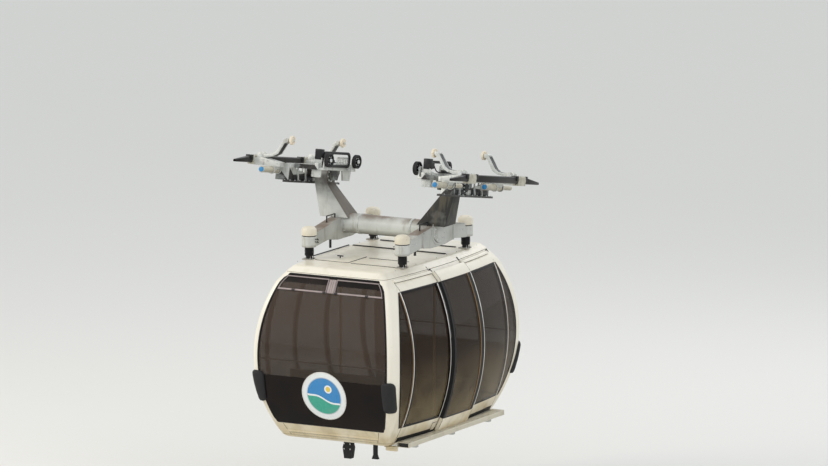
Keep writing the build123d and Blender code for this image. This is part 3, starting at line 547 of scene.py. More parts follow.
def disc_enamel():
    """Round disc: pale rim, blue field, a thin white line, a teal lower part and a small yellow dot."""
    field_r, wave_height, wave_drop, slope = 0.248, 0.016, 0.045, 0.28
    shader = Shader("disc_enamel", "#E9ECEB", 0.28, coat_weight=0.3)
    across = shader.along(0)
    up = shader.plus(shader.along(2), -DISC_Z)
    radius = shader.distance(across, up)
    field = shader.less(radius, field_r)
    shader.lay("#2E86C4", 1.0, field)
    tilted = shader.plus(up, shader.times(across, slope))
    shader.lay("#35A58C", 1.0, field, shader.less(tilted, -wave_drop))
    wave = shader.times(shader.maths("SINE", shader.times(across, 18.0)), wave_height)
    waving = shader.plus(shader.plus(tilted, wave_drop), wave)
    shader.lay("#EEF1F0", 1.0, field, shader.less(shader.maths("ABSOLUTE", waving), 0.012))
    from_dot = shader.distance(shader.plus(across, -0.07), shader.plus(up, -0.10))
    shader.lay("#F0F2F0", 1.0, shader.less(from_dot, 0.055))
    shader.lay("#E3C655", 1.0, shader.less(from_dot, 0.036))
    from_ring = shader.maths("ABSOLUTE", shader.plus(radius, -field_r - 0.004))
    shader.lay("#B9C0C4", 0.8, shader.less(from_ring, 0.006))
    dust = shader.noise(200, 4.0)
    shader.lay("#A59C8C", 0.22, (dust, 0.5, 0.8))
    shader.rough(dust, 0.2, 0.36)
    return shader.material


def blue_cap():
    """Blue plastic cap, faded on top."""
    shader = Shader("blue_cap", "#2E86C0", 0.38)
    shader.lay("#1F6494", 0.35, (shader.noise(33.33), 0.5, 0.75))
    shader.rough(shader.noise(25), 0.3, 0.5)
    return shader.material


def seal_rubber():
    """Black window and door seal, slightly greyed."""
    shader = Shader("seal_rubber", "#0C0C0C", 0.6)
    bloom = shader.noise(71.43, 4.0)
    shader.lay("#262422", 0.4, (bloom, 0.5, 0.75))
    shader.rough(bloom, 0.5, 0.75)
    return shader.material


MAKERS = (cream_paint, grey_paint, arm_paint, greasy_shaded_steel, silver_paint, dark_glass, end_glass, black_border,
          black_rubber, black_steel, sleeve_steel, bright_steel, trim_steel, band_enamel, tube_enamel,
          cream_plastic, roller_plastic, housing_paint, inner_plastic, inner_lining, pole_metal,
          brown_anodised, vent_metal, aluminium, disc_enamel, blue_cap, seal_rubber)
MATERIALS = {maker.__name__: maker() for maker in MAKERS}


# Mesh helpers


def link(name, mesh, material, body):
    """Puts a mesh in the scene as a piece that rides on a body."""
    for each in [material] if isinstance(material, str) else material:
        mesh.materials.append(MATERIALS[each])
    piece = bpy.data.objects.new(name, mesh)
    bpy.context.scene.collection.objects.link(piece)
    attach(piece, body)
    return piece


def meshed(bm, name, smooth=0.6):
    """A mesh from a bmesh, smooth apart from edges sharper than the angle given."""
    mesh = bpy.data.meshes.new(name)
    bm.to_mesh(mesh)
    bm.free()
    mesh.shade_smooth()
    mesh.set_sharp_from_angle(angle=smooth)
    return mesh


def add_piece(name, bm, material, node=None, body=CABIN, smooth=0.6):
    """Puts a bmesh in the scene as a piece on a body, in the place of a CAD node if one is given."""
    bmesh.ops.recalc_face_normals(bm, faces=bm.faces)
    piece = link(name, meshed(bm, name, smooth), material, body)
    if node:
        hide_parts(node)


def add_wall(name, bm, node, body=CABIN):
    """Puts a cream wall in the scene in the place of a CAD node, its cabin side faced in the lining."""
    bmesh.ops.recalc_face_normals(bm, faces=bm.faces)
    mesh = meshed(bm, name)
    for face in mesh.polygons:
        outward = Vector((face.center.x, face.center.y, 0)).normalized()
        if face.normal.dot(outward) < -0.3:
            face.material_index = 1
    piece = link(name, mesh, ("cream_paint", "inner_lining"), body)
    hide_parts(node)


def add_block(bm, low, high, bevel=0.0, segments=2):
    """Adds a box with rounded edges."""
    made = bmesh.ops.create_cube(bm, size=1.0)["verts"]
    for vert in made:
        vert.co = Vector([low[i] + (vert.co[i] + 0.5) * (high[i] - low[i]) for i in range(3)])
    if bevel:
        edges = list({edge for vert in made for edge in vert.link_edges})
        bmesh.ops.bevel(bm, geom=edges, offset=bevel, segments=segments, affect="EDGES", profile=0.5)


def round_ring(middle, side, other, radius, steps):
    """Points of a circle round a middle, in the plane of two directions."""
    turns = [2 * math.pi * i / steps for i in range(steps)]
    return [middle + (side * math.cos(t) + other * math.sin(t)) * radius for t in turns]


def add_rings(bm, rings, caps=(True, True)):
    """Skins a stack of rings; returns the made faces."""
    rows = [[bm.verts.new(p) for p in ring] for ring in rings]
    made = []
    for row, following in zip(rows, rows[1:]):
        for i in range(len(row)):
            j = (i + 1) % len(row)
            made.append(bm.faces.new([row[i], row[j], following[j], following[i]]))
    if caps[0]:
        made.append(bm.faces.new(list(reversed(rows[0]))))
    if caps[1]:
        made.append(bm.faces.new(rows[-1]))
    return made


def add_lathe(bm, profile, centre, axis, steps=32):
    """Adds a closed form turned about an axis; the profile is (distance along, radius) pairs."""
    axis = Vector(axis).normalized()
    side = axis.orthogonal().normalized()
    other = axis.cross(side)
    rings = []
    for along, radius in profile:
        middle = Vector(centre) + axis * along
        if radius < 1e-6:
            rings.append([bm.verts.new(middle)])
            continue
        rings.append([bm.verts.new(point) for point in round_ring(middle, side, other, radius, steps)])
    for ring, following in zip(rings, rings[1:]):
        for i in range(steps):
            corners = [ring[i % len(ring)], ring[(i + 1) % len(ring)],
                       following[(i + 1) % len(following)], following[i % len(following)]]
            unique = list(dict.fromkeys(corners))
            if len(unique) > 2:
                bm.faces.new(unique)


def add_rod(bm, start, end, radius, steps=16, soft=0.0015):
    """Adds a round bar between two points, its end edges softened."""
    run = (Vector(end) - Vector(start)).length
    soft = min(soft, radius * 0.4)
    profile = [(0.0, 0.0), (0.0, radius - soft), (soft, radius), (run - soft, radius), (run, radius - soft),
               (run, 0.0)]
    add_lathe(bm, profile, start, Vector(end) - Vector(start), steps)


def add_sheet(bm, flat, triangles, top, under, loops):
    """Adds the two faces and the rims of a sheet: the triangles in the first loop and outside the others."""
    made = []
    rims = {}
    for triangle in triangles:
        middle = sum((flat[i] for i in triangle), Vector((0, 0))) / 3
        if not inside(middle, loops[0]) or any(inside(middle, hole) for hole in loops[1:]):
            continue
        made.append(bm.faces.new([top[i] for i in triangle]))
        made.append(bm.faces.new([under[i] for i in reversed(triangle)]))
        for a, b in zip(triangle, [*triangle[1:], triangle[0]]):
            if (b, a) in rims:
                del rims[(b, a)]
            else:
                rims[(a, b)] = True
    made += [bm.faces.new([top[b], top[a], under[a], under[b]]) for a, b in rims]
    bmesh.ops.delete(bm, geom=[vert for vert in [*under, *top] if not vert.link_faces], context="VERTS")
    return made


def add_prism(bm, points, plane, low, high, bevel=0.0, holes=()):
    """Adds a plate: an outline in the plane of two axes, carried from low to high along the third."""
    first, second = plane
    third = 3 - first - second
    loops = [list(points), *[list(hole) for hole in holes]]
    flat_points = []
    edges = []
    for loop in loops:
        start = len(flat_points)
        flat_points += [Vector(point) for point in loop]
        edges += [(start + i, start + (i + 1) % len(loop)) for i in range(len(loop))]
    flat, _, triangles, _, _, _ = delaunay_2d_cdt(flat_points, edges, [], 0, 1e-7)

    def raised(point, height):
        place = [0.0, 0.0, 0.0]
        place[first], place[second], place[third] = point[0], point[1], height
        return bm.verts.new(place)

    levels = [[raised(p, height) for p in flat] for height in (low, high)]
    made = add_sheet(bm, flat, triangles, levels[1], levels[0], loops)
    bmesh.ops.recalc_face_normals(bm, faces=made)
    if bevel:
        sharp = list({edge for face in made for edge in face.edges
                      if len(edge.link_faces) == 2 and edge.calc_face_angle(0.0) > 0.9})
        bmesh.ops.bevel(bm, geom=sharp, offset=bevel, segments=2, affect="EDGES", profile=0.5,
                        clamp_overlap=True)


def add_tube(bm, points, radius, steps=8):
    """Adds a thin rigid bar or wire that follows a smooth line through the points given."""
    runs = [Vector(point) for point in points]
    if len(runs) > 2:
        padded_runs = [2 * runs[0] - runs[1], *runs, 2 * runs[-1] - runs[-2]]
        fine = []
        for p0, p1, p2, p3 in zip(padded_runs, padded_runs[1:], padded_runs[2:], padded_runs[3:]):
            for k in range(6):
                t = k / 6
                fine.append(0.5 * (2 * p1 + (p2 - p0) * t + (2 * p0 - 5 * p1 + 4 * p2 - p3) * t * t
                                   + (3 * p1 - p0 - 3 * p2 + p3) * t ** 3))
        runs = [*fine, runs[-1]]
    rings = []
    side = None
    for i, here in enumerate(runs):
        ahead = (runs[min(i + 1, len(runs) - 1)] - runs[max(i - 1, 0)]).normalized()
        side = ahead.orthogonal() if side is None else side - ahead * side.dot(ahead)
        side.normalize()
        rings.append(round_ring(here, side, ahead.cross(side), radius, steps))
    add_rings(bm, rings)


def rounded(node, width, material, angle=0.5, pick=None, ease=None):
    """A copy of a CAD node with its edges rounded, which stands for the node. pick chooses a material by
    place, and ease moves single points."""
    bm = bmesh.new()
    bm.from_mesh(frame["nodes"][node].data)
    bmesh.ops.remove_doubles(bm, verts=bm.verts, dist=1e-5)
    bmesh.ops.dissolve_limit(bm, angle_limit=0.01, verts=bm.verts, edges=bm.edges)
    sharp = [edge for edge in bm.edges if len(edge.link_faces) == 2 and edge.calc_face_angle(0.0) > angle]
    bmesh.ops.bevel(bm, geom=sharp, offset=width, segments=2, affect="EDGES", profile=0.5, clamp_overlap=True)
    bmesh.ops.triangulate(bm, faces=[face for face in bm.faces if len(face.verts) > 4])
    for vert in bm.verts if ease else ():
        vert.co = ease(vert.co)
    for face in bm.faces if pick else ():
        face.material_index = pick(face.calc_center_median())
    piece = link(f"{node}_rounded", meshed(bm, node), material, frame["nodes"][node]["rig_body"])
    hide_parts(node)


# Screws, made with Geometry Nodes


def screw_tree(material):
    """A node tree that stands a washer, a six-sided head and a thread end on each point, along its facing."""
    tree = bpy.data.node_groups.new("screw_heads", "GeometryNodeTree")
    faces = tree.interface
    faces.new_socket("Geometry", in_out="INPUT", socket_type="NodeSocketGeometry")
    across = faces.new_socket("Head radius", in_out="INPUT", socket_type="NodeSocketFloat")
    across.default_value = 0.010
    faces.new_socket("Geometry", in_out="OUTPUT", socket_type="NodeSocketGeometry")

    def node(kind, **settings):
        made = tree.nodes.new(kind)
        for key, value in settings.items():
            setattr(made, key, value)
        return made

    def scaled(factor):
        times = node("ShaderNodeMath", operation="MULTIPLY")
        tree.links.new(start.outputs["Head radius"], times.inputs[0])
        times.inputs[1].default_value = factor
        return times.outputs[0]

    start = node("NodeGroupInput")
    end = node("NodeGroupOutput")
    join = node("GeometryNodeJoinGeometry")
    for sides, radius, depth, middle in ((14, 1.45, 0.22, 0.11), (6, 1.0, 0.75, 0.55), (8, 0.5, 0.5, 1.1)):
        drum = node("GeometryNodeMeshCylinder", fill_type="NGON")
        drum.inputs["Vertices"].default_value = sides
        tree.links.new(scaled(radius), drum.inputs["Radius"])
        tree.links.new(scaled(depth), drum.inputs["Depth"])
        lift = node("ShaderNodeCombineXYZ")
        tree.links.new(scaled(middle), lift.inputs["Z"])
        move = node("GeometryNodeTransform")
        tree.links.new(drum.outputs["Mesh"], move.inputs["Geometry"])
        tree.links.new(lift.outputs[0], move.inputs["Translation"])
        tree.links.new(move.outputs[0], join.inputs[0])
    facing = node("GeometryNodeInputNamedAttribute", data_type="FLOAT_VECTOR")
    facing.inputs["Name"].default_value = "facing"
    turn = node("FunctionNodeAlignRotationToVector", axis="Z")
    tree.links.new(facing.outputs["Attribute"], turn.inputs["Vector"])
    stand = node("GeometryNodeInstanceOnPoints")
    tree.links.new(start.outputs["Geometry"], stand.inputs["Points"])
    tree.links.new(join.outputs[0], stand.inputs["Instance"])
    tree.links.new(turn.outputs[0], stand.inputs["Rotation"])
    real = node("GeometryNodeRealizeInstances")
    tree.links.new(stand.outputs[0], real.inputs[0])
    paint = node("GeometryNodeSetMaterial")
    paint.inputs["Material"].default_value = MATERIALS[material]
    tree.links.new(real.outputs[0], paint.inputs["Geometry"])
    tree.links.new(paint.outputs[0], end.inputs[0])
    return tree, across.identifier


SCREWS = {material: screw_tree(material) for material in ("bright_steel", "black_steel", "silver_paint")}


def add_screws(name, spots, radius, material, body):
    """Screws of one size at (place, facing) spots, as one plain mesh."""
    tree, radius_socket = SCREWS[material]
    mesh = bpy.data.meshes.new(name)
    mesh.from_pydata([tuple(place) for place, _ in spots], [], [])
    facing = mesh.attributes.new("facing", "FLOAT_VECTOR", "POINT")
    facing.data.foreach_set("vector", [value for _, way in spots for value in Vector(way).normalized()])
    source = bpy.data.objects.new(name, mesh)
    bpy.context.scene.collection.objects.link(source)
    grown = source.modifiers.new("screws", "NODES")
    grown.node_group = tree
    grown[radius_socket] = radius
    ready = source.evaluated_get(bpy.context.evaluated_depsgraph_get())
    plain = bpy.data.meshes.new_from_object(ready)
    bpy.data.objects.remove(source)
    plain.name = name
    if "facing" in plain.attributes:
        plain.attributes.remove(plain.attributes["facing"])
    plain.shade_smooth()
    plain.set_sharp_from_angle(angle=0.6)
    link(name, plain, (), body)


# The cabin's skin


def sag(radius, z):
    """How far an arc about the bulge's height has come in at height z."""
    return radius - math.sqrt(radius ** 2 - (z - BULGE_Z) ** 2)


def side_profile(z):
    """A side's distance from the middle, and its outward direction as (outwards, up)."""
    if z <= SHOULDER_Z:
        tilt = (z - BULGE_Z) / SIDE_BULGE_R
        return HALF_WIDTH - sag(SIDE_BULGE_R, z), (math.sqrt(1 - tilt ** 2), tilt)
    shoulder_x = HALF_WIDTH - sag(SIDE_BULGE_R, SHOULDER_Z)
    edge_z = ROOF_Z - ROOF_EDGE_DROP
    run = Vector((shoulder_x - ROOF_EDGE_X, edge_z - SHOULDER_Z))
    out = Vector((run.y, run.x)).normalized()
    return shoulder_x - run.x * (z - SHOULDER_Z) / run.y, (out.x, out.y)


def end_profile(z):
    """An end's distance from the middle, and its outward direction as (outwards, up)."""
    tilt = (z - BULGE_Z) / END_BULGE_R
    return HALF_LENGTH - sag(END_BULGE_R, z), (math.sqrt(1 - tilt ** 2), tilt)


def on_side(y, z, depth=0.0):
    """A point of the +X side, at a depth under its surface."""
    x, (out, up) = side_profile(z)
    axis_x = HALF_WIDTH - PLAN_R
    return Vector((axis_x + math.sqrt((x - depth * out - axis_x) ** 2 - y ** 2), y, z - depth * up))


def on_end(x, z, depth=0.0):
    """A point of the -Y end, at a depth under its surface."""
    y, (out, up) = end_profile(z)
    return Vector((x, -(y - depth * out), z - depth * up))


def corner(z):
    """At a height: X and Y of the corner arc's centre, how far the arc turns, and the side's plan radius."""
    reach = side_profile(z)[0] - (HALF_WIDTH - PLAN_R)
    end_y = end_profile(z)[0]
    slant = math.asin((end_y - CORNER_R) / (reach - CORNER_R))
    x = HALF_WIDTH - PLAN_R + (reach - CORNER_R) * math.cos(slant)
    return x, end_y - CORNER_R, math.pi / 2 - slant, reach


def on_belt(s, z, depth=0.0):
    """A point of the skin, s metres from the middle of the -Y end round its corner to the side."""
    sign = 1.0 if s >= 0 else -1.0
    x, y, turned, reach = corner(z)
    run = abs(s) - x
    if run <= 0:
        return on_end(s, z, depth)
    arc = CORNER_R * turned
    end_up = end_profile(z)[1][1]
    side_up = side_profile(z)[1][1]
    if run >= arc:
        turn = math.pi / 2 - turned - (run - arc) / reach
        plan = Vector((math.cos(turn), -math.sin(turn)))
        middle = Vector((HALF_WIDTH - PLAN_R, 0.0))
        up = side_up
        distance = reach
    else:
        turn = run / CORNER_R
        plan = Vector((math.sin(turn), -math.cos(turn)))
        middle = Vector((x, -y))
        up = end_up + (side_up - end_up) * run / arc
        distance = CORNER_R
    place = middle + plan * (distance - depth * math.sqrt(1 - up ** 2))
    return Vector((sign * place.x, place.y, z - depth * up))


def seam_y(z):
    """Where the post's seam runs, as a distance from the middle of the side."""
    return HALF_LENGTH - END_BULGE_R + math.sqrt((END_BULGE_R - POST_DEPTH) ** 2 - (z - BULGE_Z) ** 2)


def belt_at(y, z):
    """The belt's s where the side is y from its middle."""
    x, _, turned, reach = corner(z)
    return x + CORNER_R * turned + (math.pi / 2 - turned - math.asin(y / reach)) * reach


def inside(point, loop):
    """Whether a point of the plane lies in a closed outline."""
    x, y = point
    within = False
    for (x0, y0), (x1, y1) in zip(loop, loop[1:] + loop[:1]):
        if (y0 > y) != (y1 > y) and x < (x1 - x0) * (y - y0) / (y1 - y0) + x0:
            within = not within
    return within


def offset_loop(loop, distance):
    """An outline moved to its left by a distance, corner by corner."""
    moved = []
    count = len(loop)
    for i in range(count):
        before, here, after = Vector(loop[i - 1]), Vector(loop[i]), Vector(loop[(i + 1) % count])
        first = (here - before).normalized()
        second = (after - here).normalized()
        normal = Vector((-first.y - second.y, first.x + second.x))
        if normal.length < 1e-6:
            continue
        normal.normalize()
        lean = max(0.35, normal.dot(Vector((-second.y, second.x))))
        moved.append(tuple(here + normal * distance / lean))
    return moved


def turned_left(loop):
    """The outline run anticlockwise."""
    area = sum(x0 * y1 - x1 * y0 for (x0, y0), (x1, y1) in zip(loop, loop[1:] + loop[:1]))
    return loop if area > 0 else loop[::-1]


def dense(loop, step):
    """The outline with extra points, so that no run is longer than step."""
    points = []
    for start, end in zip(loop, loop[1:] + loop[:1]):
        count = max(1, math.ceil((Vector(end) - Vector(start)).length / step))
        points += [tuple(Vector(start).lerp(Vector(end), i / count)) for i in range(count)]
    return points


def rectangle(x0, x1, y0, y1):
    """The four corners of a rectangle, anticlockwise."""
    return [(x0, y0), (x1, y0), (x1, y1), (x0, y1)]


def soft_corners(corners, radius, steps=5):
    """A polygon whose corners are rounded."""
    loop = []
    count = len(corners)
    for i in range(count):
        here = Vector(corners[i])
        to_last = (Vector(corners[i - 1]) - here).normalized()
        to_next = (Vector(corners[(i + 1) % count]) - here).normalized()
        half = to_last.angle(to_next) / 2
        reach = radius / math.tan(half)
        centre = here + (to_last + to_next).normalized() * radius / math.sin(half)
        start = here + to_last * reach - centre
        end = here + to_next * reach - centre
        sweep = start.angle_signed(end)
        for k in range(steps + 1):
            turn = -sweep * k / steps
            spun = (start.x * math.cos(turn) - start.y * math.sin(turn),
                    start.x * math.sin(turn) + start.y * math.cos(turn))
            loop.append(tuple(centre + Vector(spun)))
    return loop


def add_panel(bm, place, outline, holes=(), outer=0.0, inner=WALL, step=0.05, bevel=0.0025, grid=None):
    """Adds a curved panel: outline and holes lie in the skin's plane map; place lifts them to the skin."""
    outline = dense(turned_left(list(outline)), step)
    holes = [dense(turned_left(list(hole)), step) for hole in holes]
    rims = [offset_loop(outline, bevel)] + [offset_loop(hole, -bevel) for hole in holes]
    points = []
    edges = []
    for loop in [outline, *holes, *rims]:
        first = len(points)
        points += [Vector(point) for point in loop]
        edges += [(first + i, first + (i + 1) % len(loop)) for i in range(len(loop))]
    lowered = sum(len(loop) for loop in [outline, *holes])
    for point in grid or plain_grid(outline, step):
        if inside(point, rims[0]) and not any(inside(point, rim) for rim in rims[1:]):
            points.append(Vector(point))
    flat, _, triangles, originals, _, _ = delaunay_2d_cdt(points, edges, [], 0, 1e-7)
    low = {i for i, sources in enumerate(originals) if any(source < lowered for source in sources)}
    top = [bm.verts.new(place(p.x, p.y, outer + (bevel if i in low else 0.0))) for i, p in enumerate(flat)]
    under = [bm.verts.new(place(p.x, p.y, inner)) for p in flat]
    add_sheet(bm, flat, triangles, top, under, [outline, *holes])


def plain_grid(outline, step):
    """Points of a square grid over an outline."""
    xs, ys = zip(*outline)
    columns = max(1, round((max(xs) - min(xs)) / step))
    rows = max(1, round((max(ys) - min(ys)) / step))
    return [(min(xs) + (max(xs) - min(xs)) * (i + 0.5) / columns,
             min(ys) + (max(ys) - min(ys)) * (j + 0.5) / rows) for i in range(columns) for j in range(rows)]


def mirrored(bm, axis):
    """Adds the mirror image of all there is, about the plane square to an axis."""
    copied = bmesh.ops.duplicate(bm, geom=bm.verts[:] + bm.edges[:] + bm.faces[:])["geom"]
    for vert in (each for each in copied if isinstance(each, bmesh.types.BMVert)):
        vert.co[axis] = -vert.co[axis]
    bmesh.ops.reverse_faces(bm, faces=[each for each in copied if isinstance(each, bmesh.types.BMFace)])


def heights(low, high, step=0.05):
    """Evenly spaced heights from low to high, both included."""
    count = max(1, math.ceil((high - low) / step))
    return [low + (high - low) * i / count for i in range(count + 1)]


def upright_strip(near, far, low, high):
    """An outline between two lines that lean with the skin, each a function of height or a constant."""
    def at(edge, z):
        return edge(z) if callable(edge) else edge

    rows = heights(low, high, 0.06)
    right = [(at(far, z), z) for z in rows]
    return right + [(at(near, z), z) for z in reversed(rows)]


def add_strip(bm, place, near, far, low, high, **faces):
    """Adds an upright strip of panel; faces holds add_panel's outer, inner and bevel."""
    add_panel(bm, place, upright_strip(near, far, low, high), **faces)


# Body panels


def sharp_corner_x(z):
    """Where a side would meet an end at a height, without the rounded corner."""
    end_y = end_profile(z)[0]
    return side_profile(z)[0] - (PLAN_R - math.sqrt(PLAN_R ** 2 - end_y ** 2))


def end_glass_x(z):
    """Half the width of an end window's opening."""
    return sharp_corner_x(z) - END_GLASS_SIDE


def end_glass_outline(inset, low=END_GLASS_LOW, high=END_GLASS_TOP, radius=0.028):
    """An end window's outline, brought in by inset."""
    low += inset
    high -= inset
    right = [(end_glass_x(z) - inset, z) for z in heights(low, high, 0.06)]
    left = [(-x, z) for x, z in reversed(right)]
    corner_r = max(0.004, radius - inset)
    points = []
    for run in (right, left):
        trimmed = [point for point in run if low + corner_r < point[1] < high - corner_r]
        start, end = run[0], run[-1]
        points += arc_corner(start, corner_r, -1 if start[1] < end[1] else 1, start[0] > 0)
        points += trimmed
        points += arc_corner(end, corner_r, 1 if start[1] < end[1] else -1, end[0] > 0)
    return points


def arc_corner(tip, radius, up, right):
    """Five points of a quarter arc that rounds the corner of an upright outline, run anticlockwise."""
    side = 1 if right else -1
    centre = (tip[0] - side * radius, tip[1] - up * radius)
    start = {(True, -1): -90, (True, 1): 0, (False, 1): 90, (False, -1): 180}[(right, up)]
    turns = [math.radians(start + 90 * k / 4) for k in range(5)]
    return [(centre[0] + radius * math.cos(t), centre[1] + radius * math.sin(t)) for t in turns]


def build_end_frames():
    """Moulded end surrounds with their posts, one at each end."""
    right = [(belt_at(seam_y(z) + 0.0015, z), z) for z in heights(SHELL_LOW, SEAM_Z)]
    outline = right + [(-s, z) for s, z in reversed(right)]
    grid = []
    for z in heights(SHELL_LOW, SEAM_Z, 0.045)[1:-1]:
        reach, _, turned, _ = corner(z)
        arc = CORNER_R * turned
        spots = [reach * i / 16 for i in range(16)]
        spots += [reach + arc * i / 8 for i in range(9)]
        spots += [reach + arc + 0.035, reach + arc + 0.07]
        grid += [(s, z) for s in spots] + [(-s, z) for s in spots]
    bm = bmesh.new()
    add_panel(bm, on_belt, outline, [end_glass_outline(0.0)], grid=grid)
    mirrored(bm, 1)
    add_wall("end_surrounds", bm, "end_frames")


def build_end_glass():
    """Large end panes, their printed borders and lower field, and their seals."""
    bm = bmesh.new()
    add_panel(bm, on_end, end_glass_outline(0.001), step=0.06, **PANE)
    mirrored(bm, 1)
    add_piece("end_panes", bm, "end_glass", "end_windows")
    bm = bmesh.new()
    clear = end_glass_outline(0.024, low=-2.520, high=-1.262, radius=0.05)
    add_panel(bm, on_end, end_glass_outline(0.002), [clear], step=0.06, **PRINT)
    mirrored(bm, 1)
    add_piece("end_pane_borders", bm, "black_border")
    bm = bmesh.new()
    add_panel(bm, on_end, end_glass_outline(-0.005), [end_glass_outline(0.007)], outer=-0.003,
              inner=GLASS_INSET, bevel=0.002, step=0.06)
    mirrored(bm, 1)
    add_piece("end_pane_seals", bm, "seal_rubber")


def build_end_rails():
    """The ledge along each end's bottom rail, and the seams round the rail."""
    bm = bmesh.new()
    seam_gap = 0.012
    low, high = -3.292, -3.262

    def rail_end(z):
        return sharp_corner_x(z) - 0.16

    add_strip(bm, on_end, lambda z: -rail_end(z), rail_end, low, high, outer=-0.012, inner=0.002, bevel=0.008)
    mirrored(bm, 1)
    add_piece("end_ledges", bm, "cream_paint")
    bm = bmesh.new()
    for side in (-1, 1):
        near, far = (lambda z, s=side: s * rail_end(z) - 0.003), (lambda z, s=side: s * rail_end(z) + 0.003)
        add_strip(bm, on_end, near, far, SHELL_LOW + 0.002, END_GLASS_LOW - seam_gap, outer=-0.0008,
                  inner=0.002, bevel=0.0005)
    add_strip(bm, on_end, lambda z: -rail_end(z), rail_end, low - 0.006, low, outer=-0.001, inner=0.002,
              bevel=0.0005)
    mirrored(bm, 1)
    add_piece("end_rail_seams", bm, "seal_rubber")


def build_vents():
    """Two opening frames at the top of each end window, a plate between them, and their hinge blocks."""
    top, low = -1.208, -1.383
    bar, foot = 0.013, 0.020
    bm = bmesh.new()

    def outer_edge(z):
        return end_glass_x(z) - 0.030

    for side in (-1, 1):
        near, far = 0.058, outer_edge
        frame_out = upright_strip(near, far, low, top)
        frame_in = upright_strip(near + bar, lambda z: far(z) - bar, low + foot, top - bar)
        if side < 0:
            frame_out = [(-x, z) for x, z in frame_out]
            frame_in = [(-x, z) for x, z in frame_in]
        add_panel(bm, on_end, frame_out, [frame_in], outer=-0.010, inner=GLASS_INSET, bevel=0.003)
    add_strip(bm, on_end, -0.052, 0.052, low + 0.004, top - 0.004, outer=-0.006, inner=GLASS_INSET,
              bevel=0.004)
    mirrored(bm, 1)
    add_piece("vent_frames_worked", bm, "vent_metal", "vent_frames")
    bm = bmesh.new()
    for x in (-0.55, -0.088, 0.088, 0.55):
        add_strip(bm, on_end, x - 0.022, x + 0.022, low - 0.006, low + 0.016, outer=-0.020, inner=-0.008,
                  bevel=0.004)
    for x in (-0.014, 0.014):
        add_strip(bm, on_end, x - 0.002, x + 0.002, low + 0.010, top - 0.010, outer=-0.0068, inner=-0.005,
                  bevel=0.0004)
    mirrored(bm, 1)
    add_piece("vent_hinges", bm, "black_steel")


def window_band(doorway):
    """A side's window opening between the posts, with the doorway's bite where there is one."""
    rows = heights(SIDE_GLASS_LOW, SIDE_GLASS_TOP, 0.06)
    reach = [seam_y(z) - POST_GAP for z in rows]
    right = list(zip(reach, rows))
    left = [(-y, z) for y, z in reversed(right)]
    if not doorway:
        return right + left
    half = DOOR_HALF - DOOR_STILE
    top = DOOR_TOP - DOOR_STILE
    low = DOOR_LOW + DOOR_STILE
    return [*right, (half, rows[-1]), (half, top), (-half, top), (-half, rows[-1]),
            *left, (-half, rows[0]), (-half, low), (half, low), (half, rows[0])]


def side_rectangle(y0, y1, inset):
    """A side window's outline as (y, z), its end towards the post kept parallel to the post's seam."""
    rows = heights(SIDE_GLASS_LOW + inset, SIDE_GLASS_TOP - inset, 0.06)

    def held(y, z):
        reach = seam_y(z) - POST_GAP
        return max(-reach, min(reach, y))

    right = [(held(y1, z) - inset, z) for z in rows]
    left = [(held(y0, z) + inset, z) for z in reversed(rows)]
    return right + left


def side_windows():
    """(y0, y1) of the fixed panes of one side, without the middle one."""
    near = DOOR_HALF + MULLION
    spans = [(near, near + WIDE_PANE), (near + WIDE_PANE + MULLION, HALF_LENGTH)]
    return spans + [(-far, -close) for close, far in spans]


def side_outline():
    """The side wall between the post seams."""
    right = [(seam_y(z) - 0.0015, z) for z in heights(SHELL_LOW, SEAM_Z)]
    return right + [(-y, z) for y, z in reversed(right)]


def turned_over(bm):
    """Moves all there is to the other side of the cabin."""
    for vert in bm.verts:
        vert.co.x = -vert.co.x
    bmesh.ops.reverse_faces(bm, faces=bm.faces)


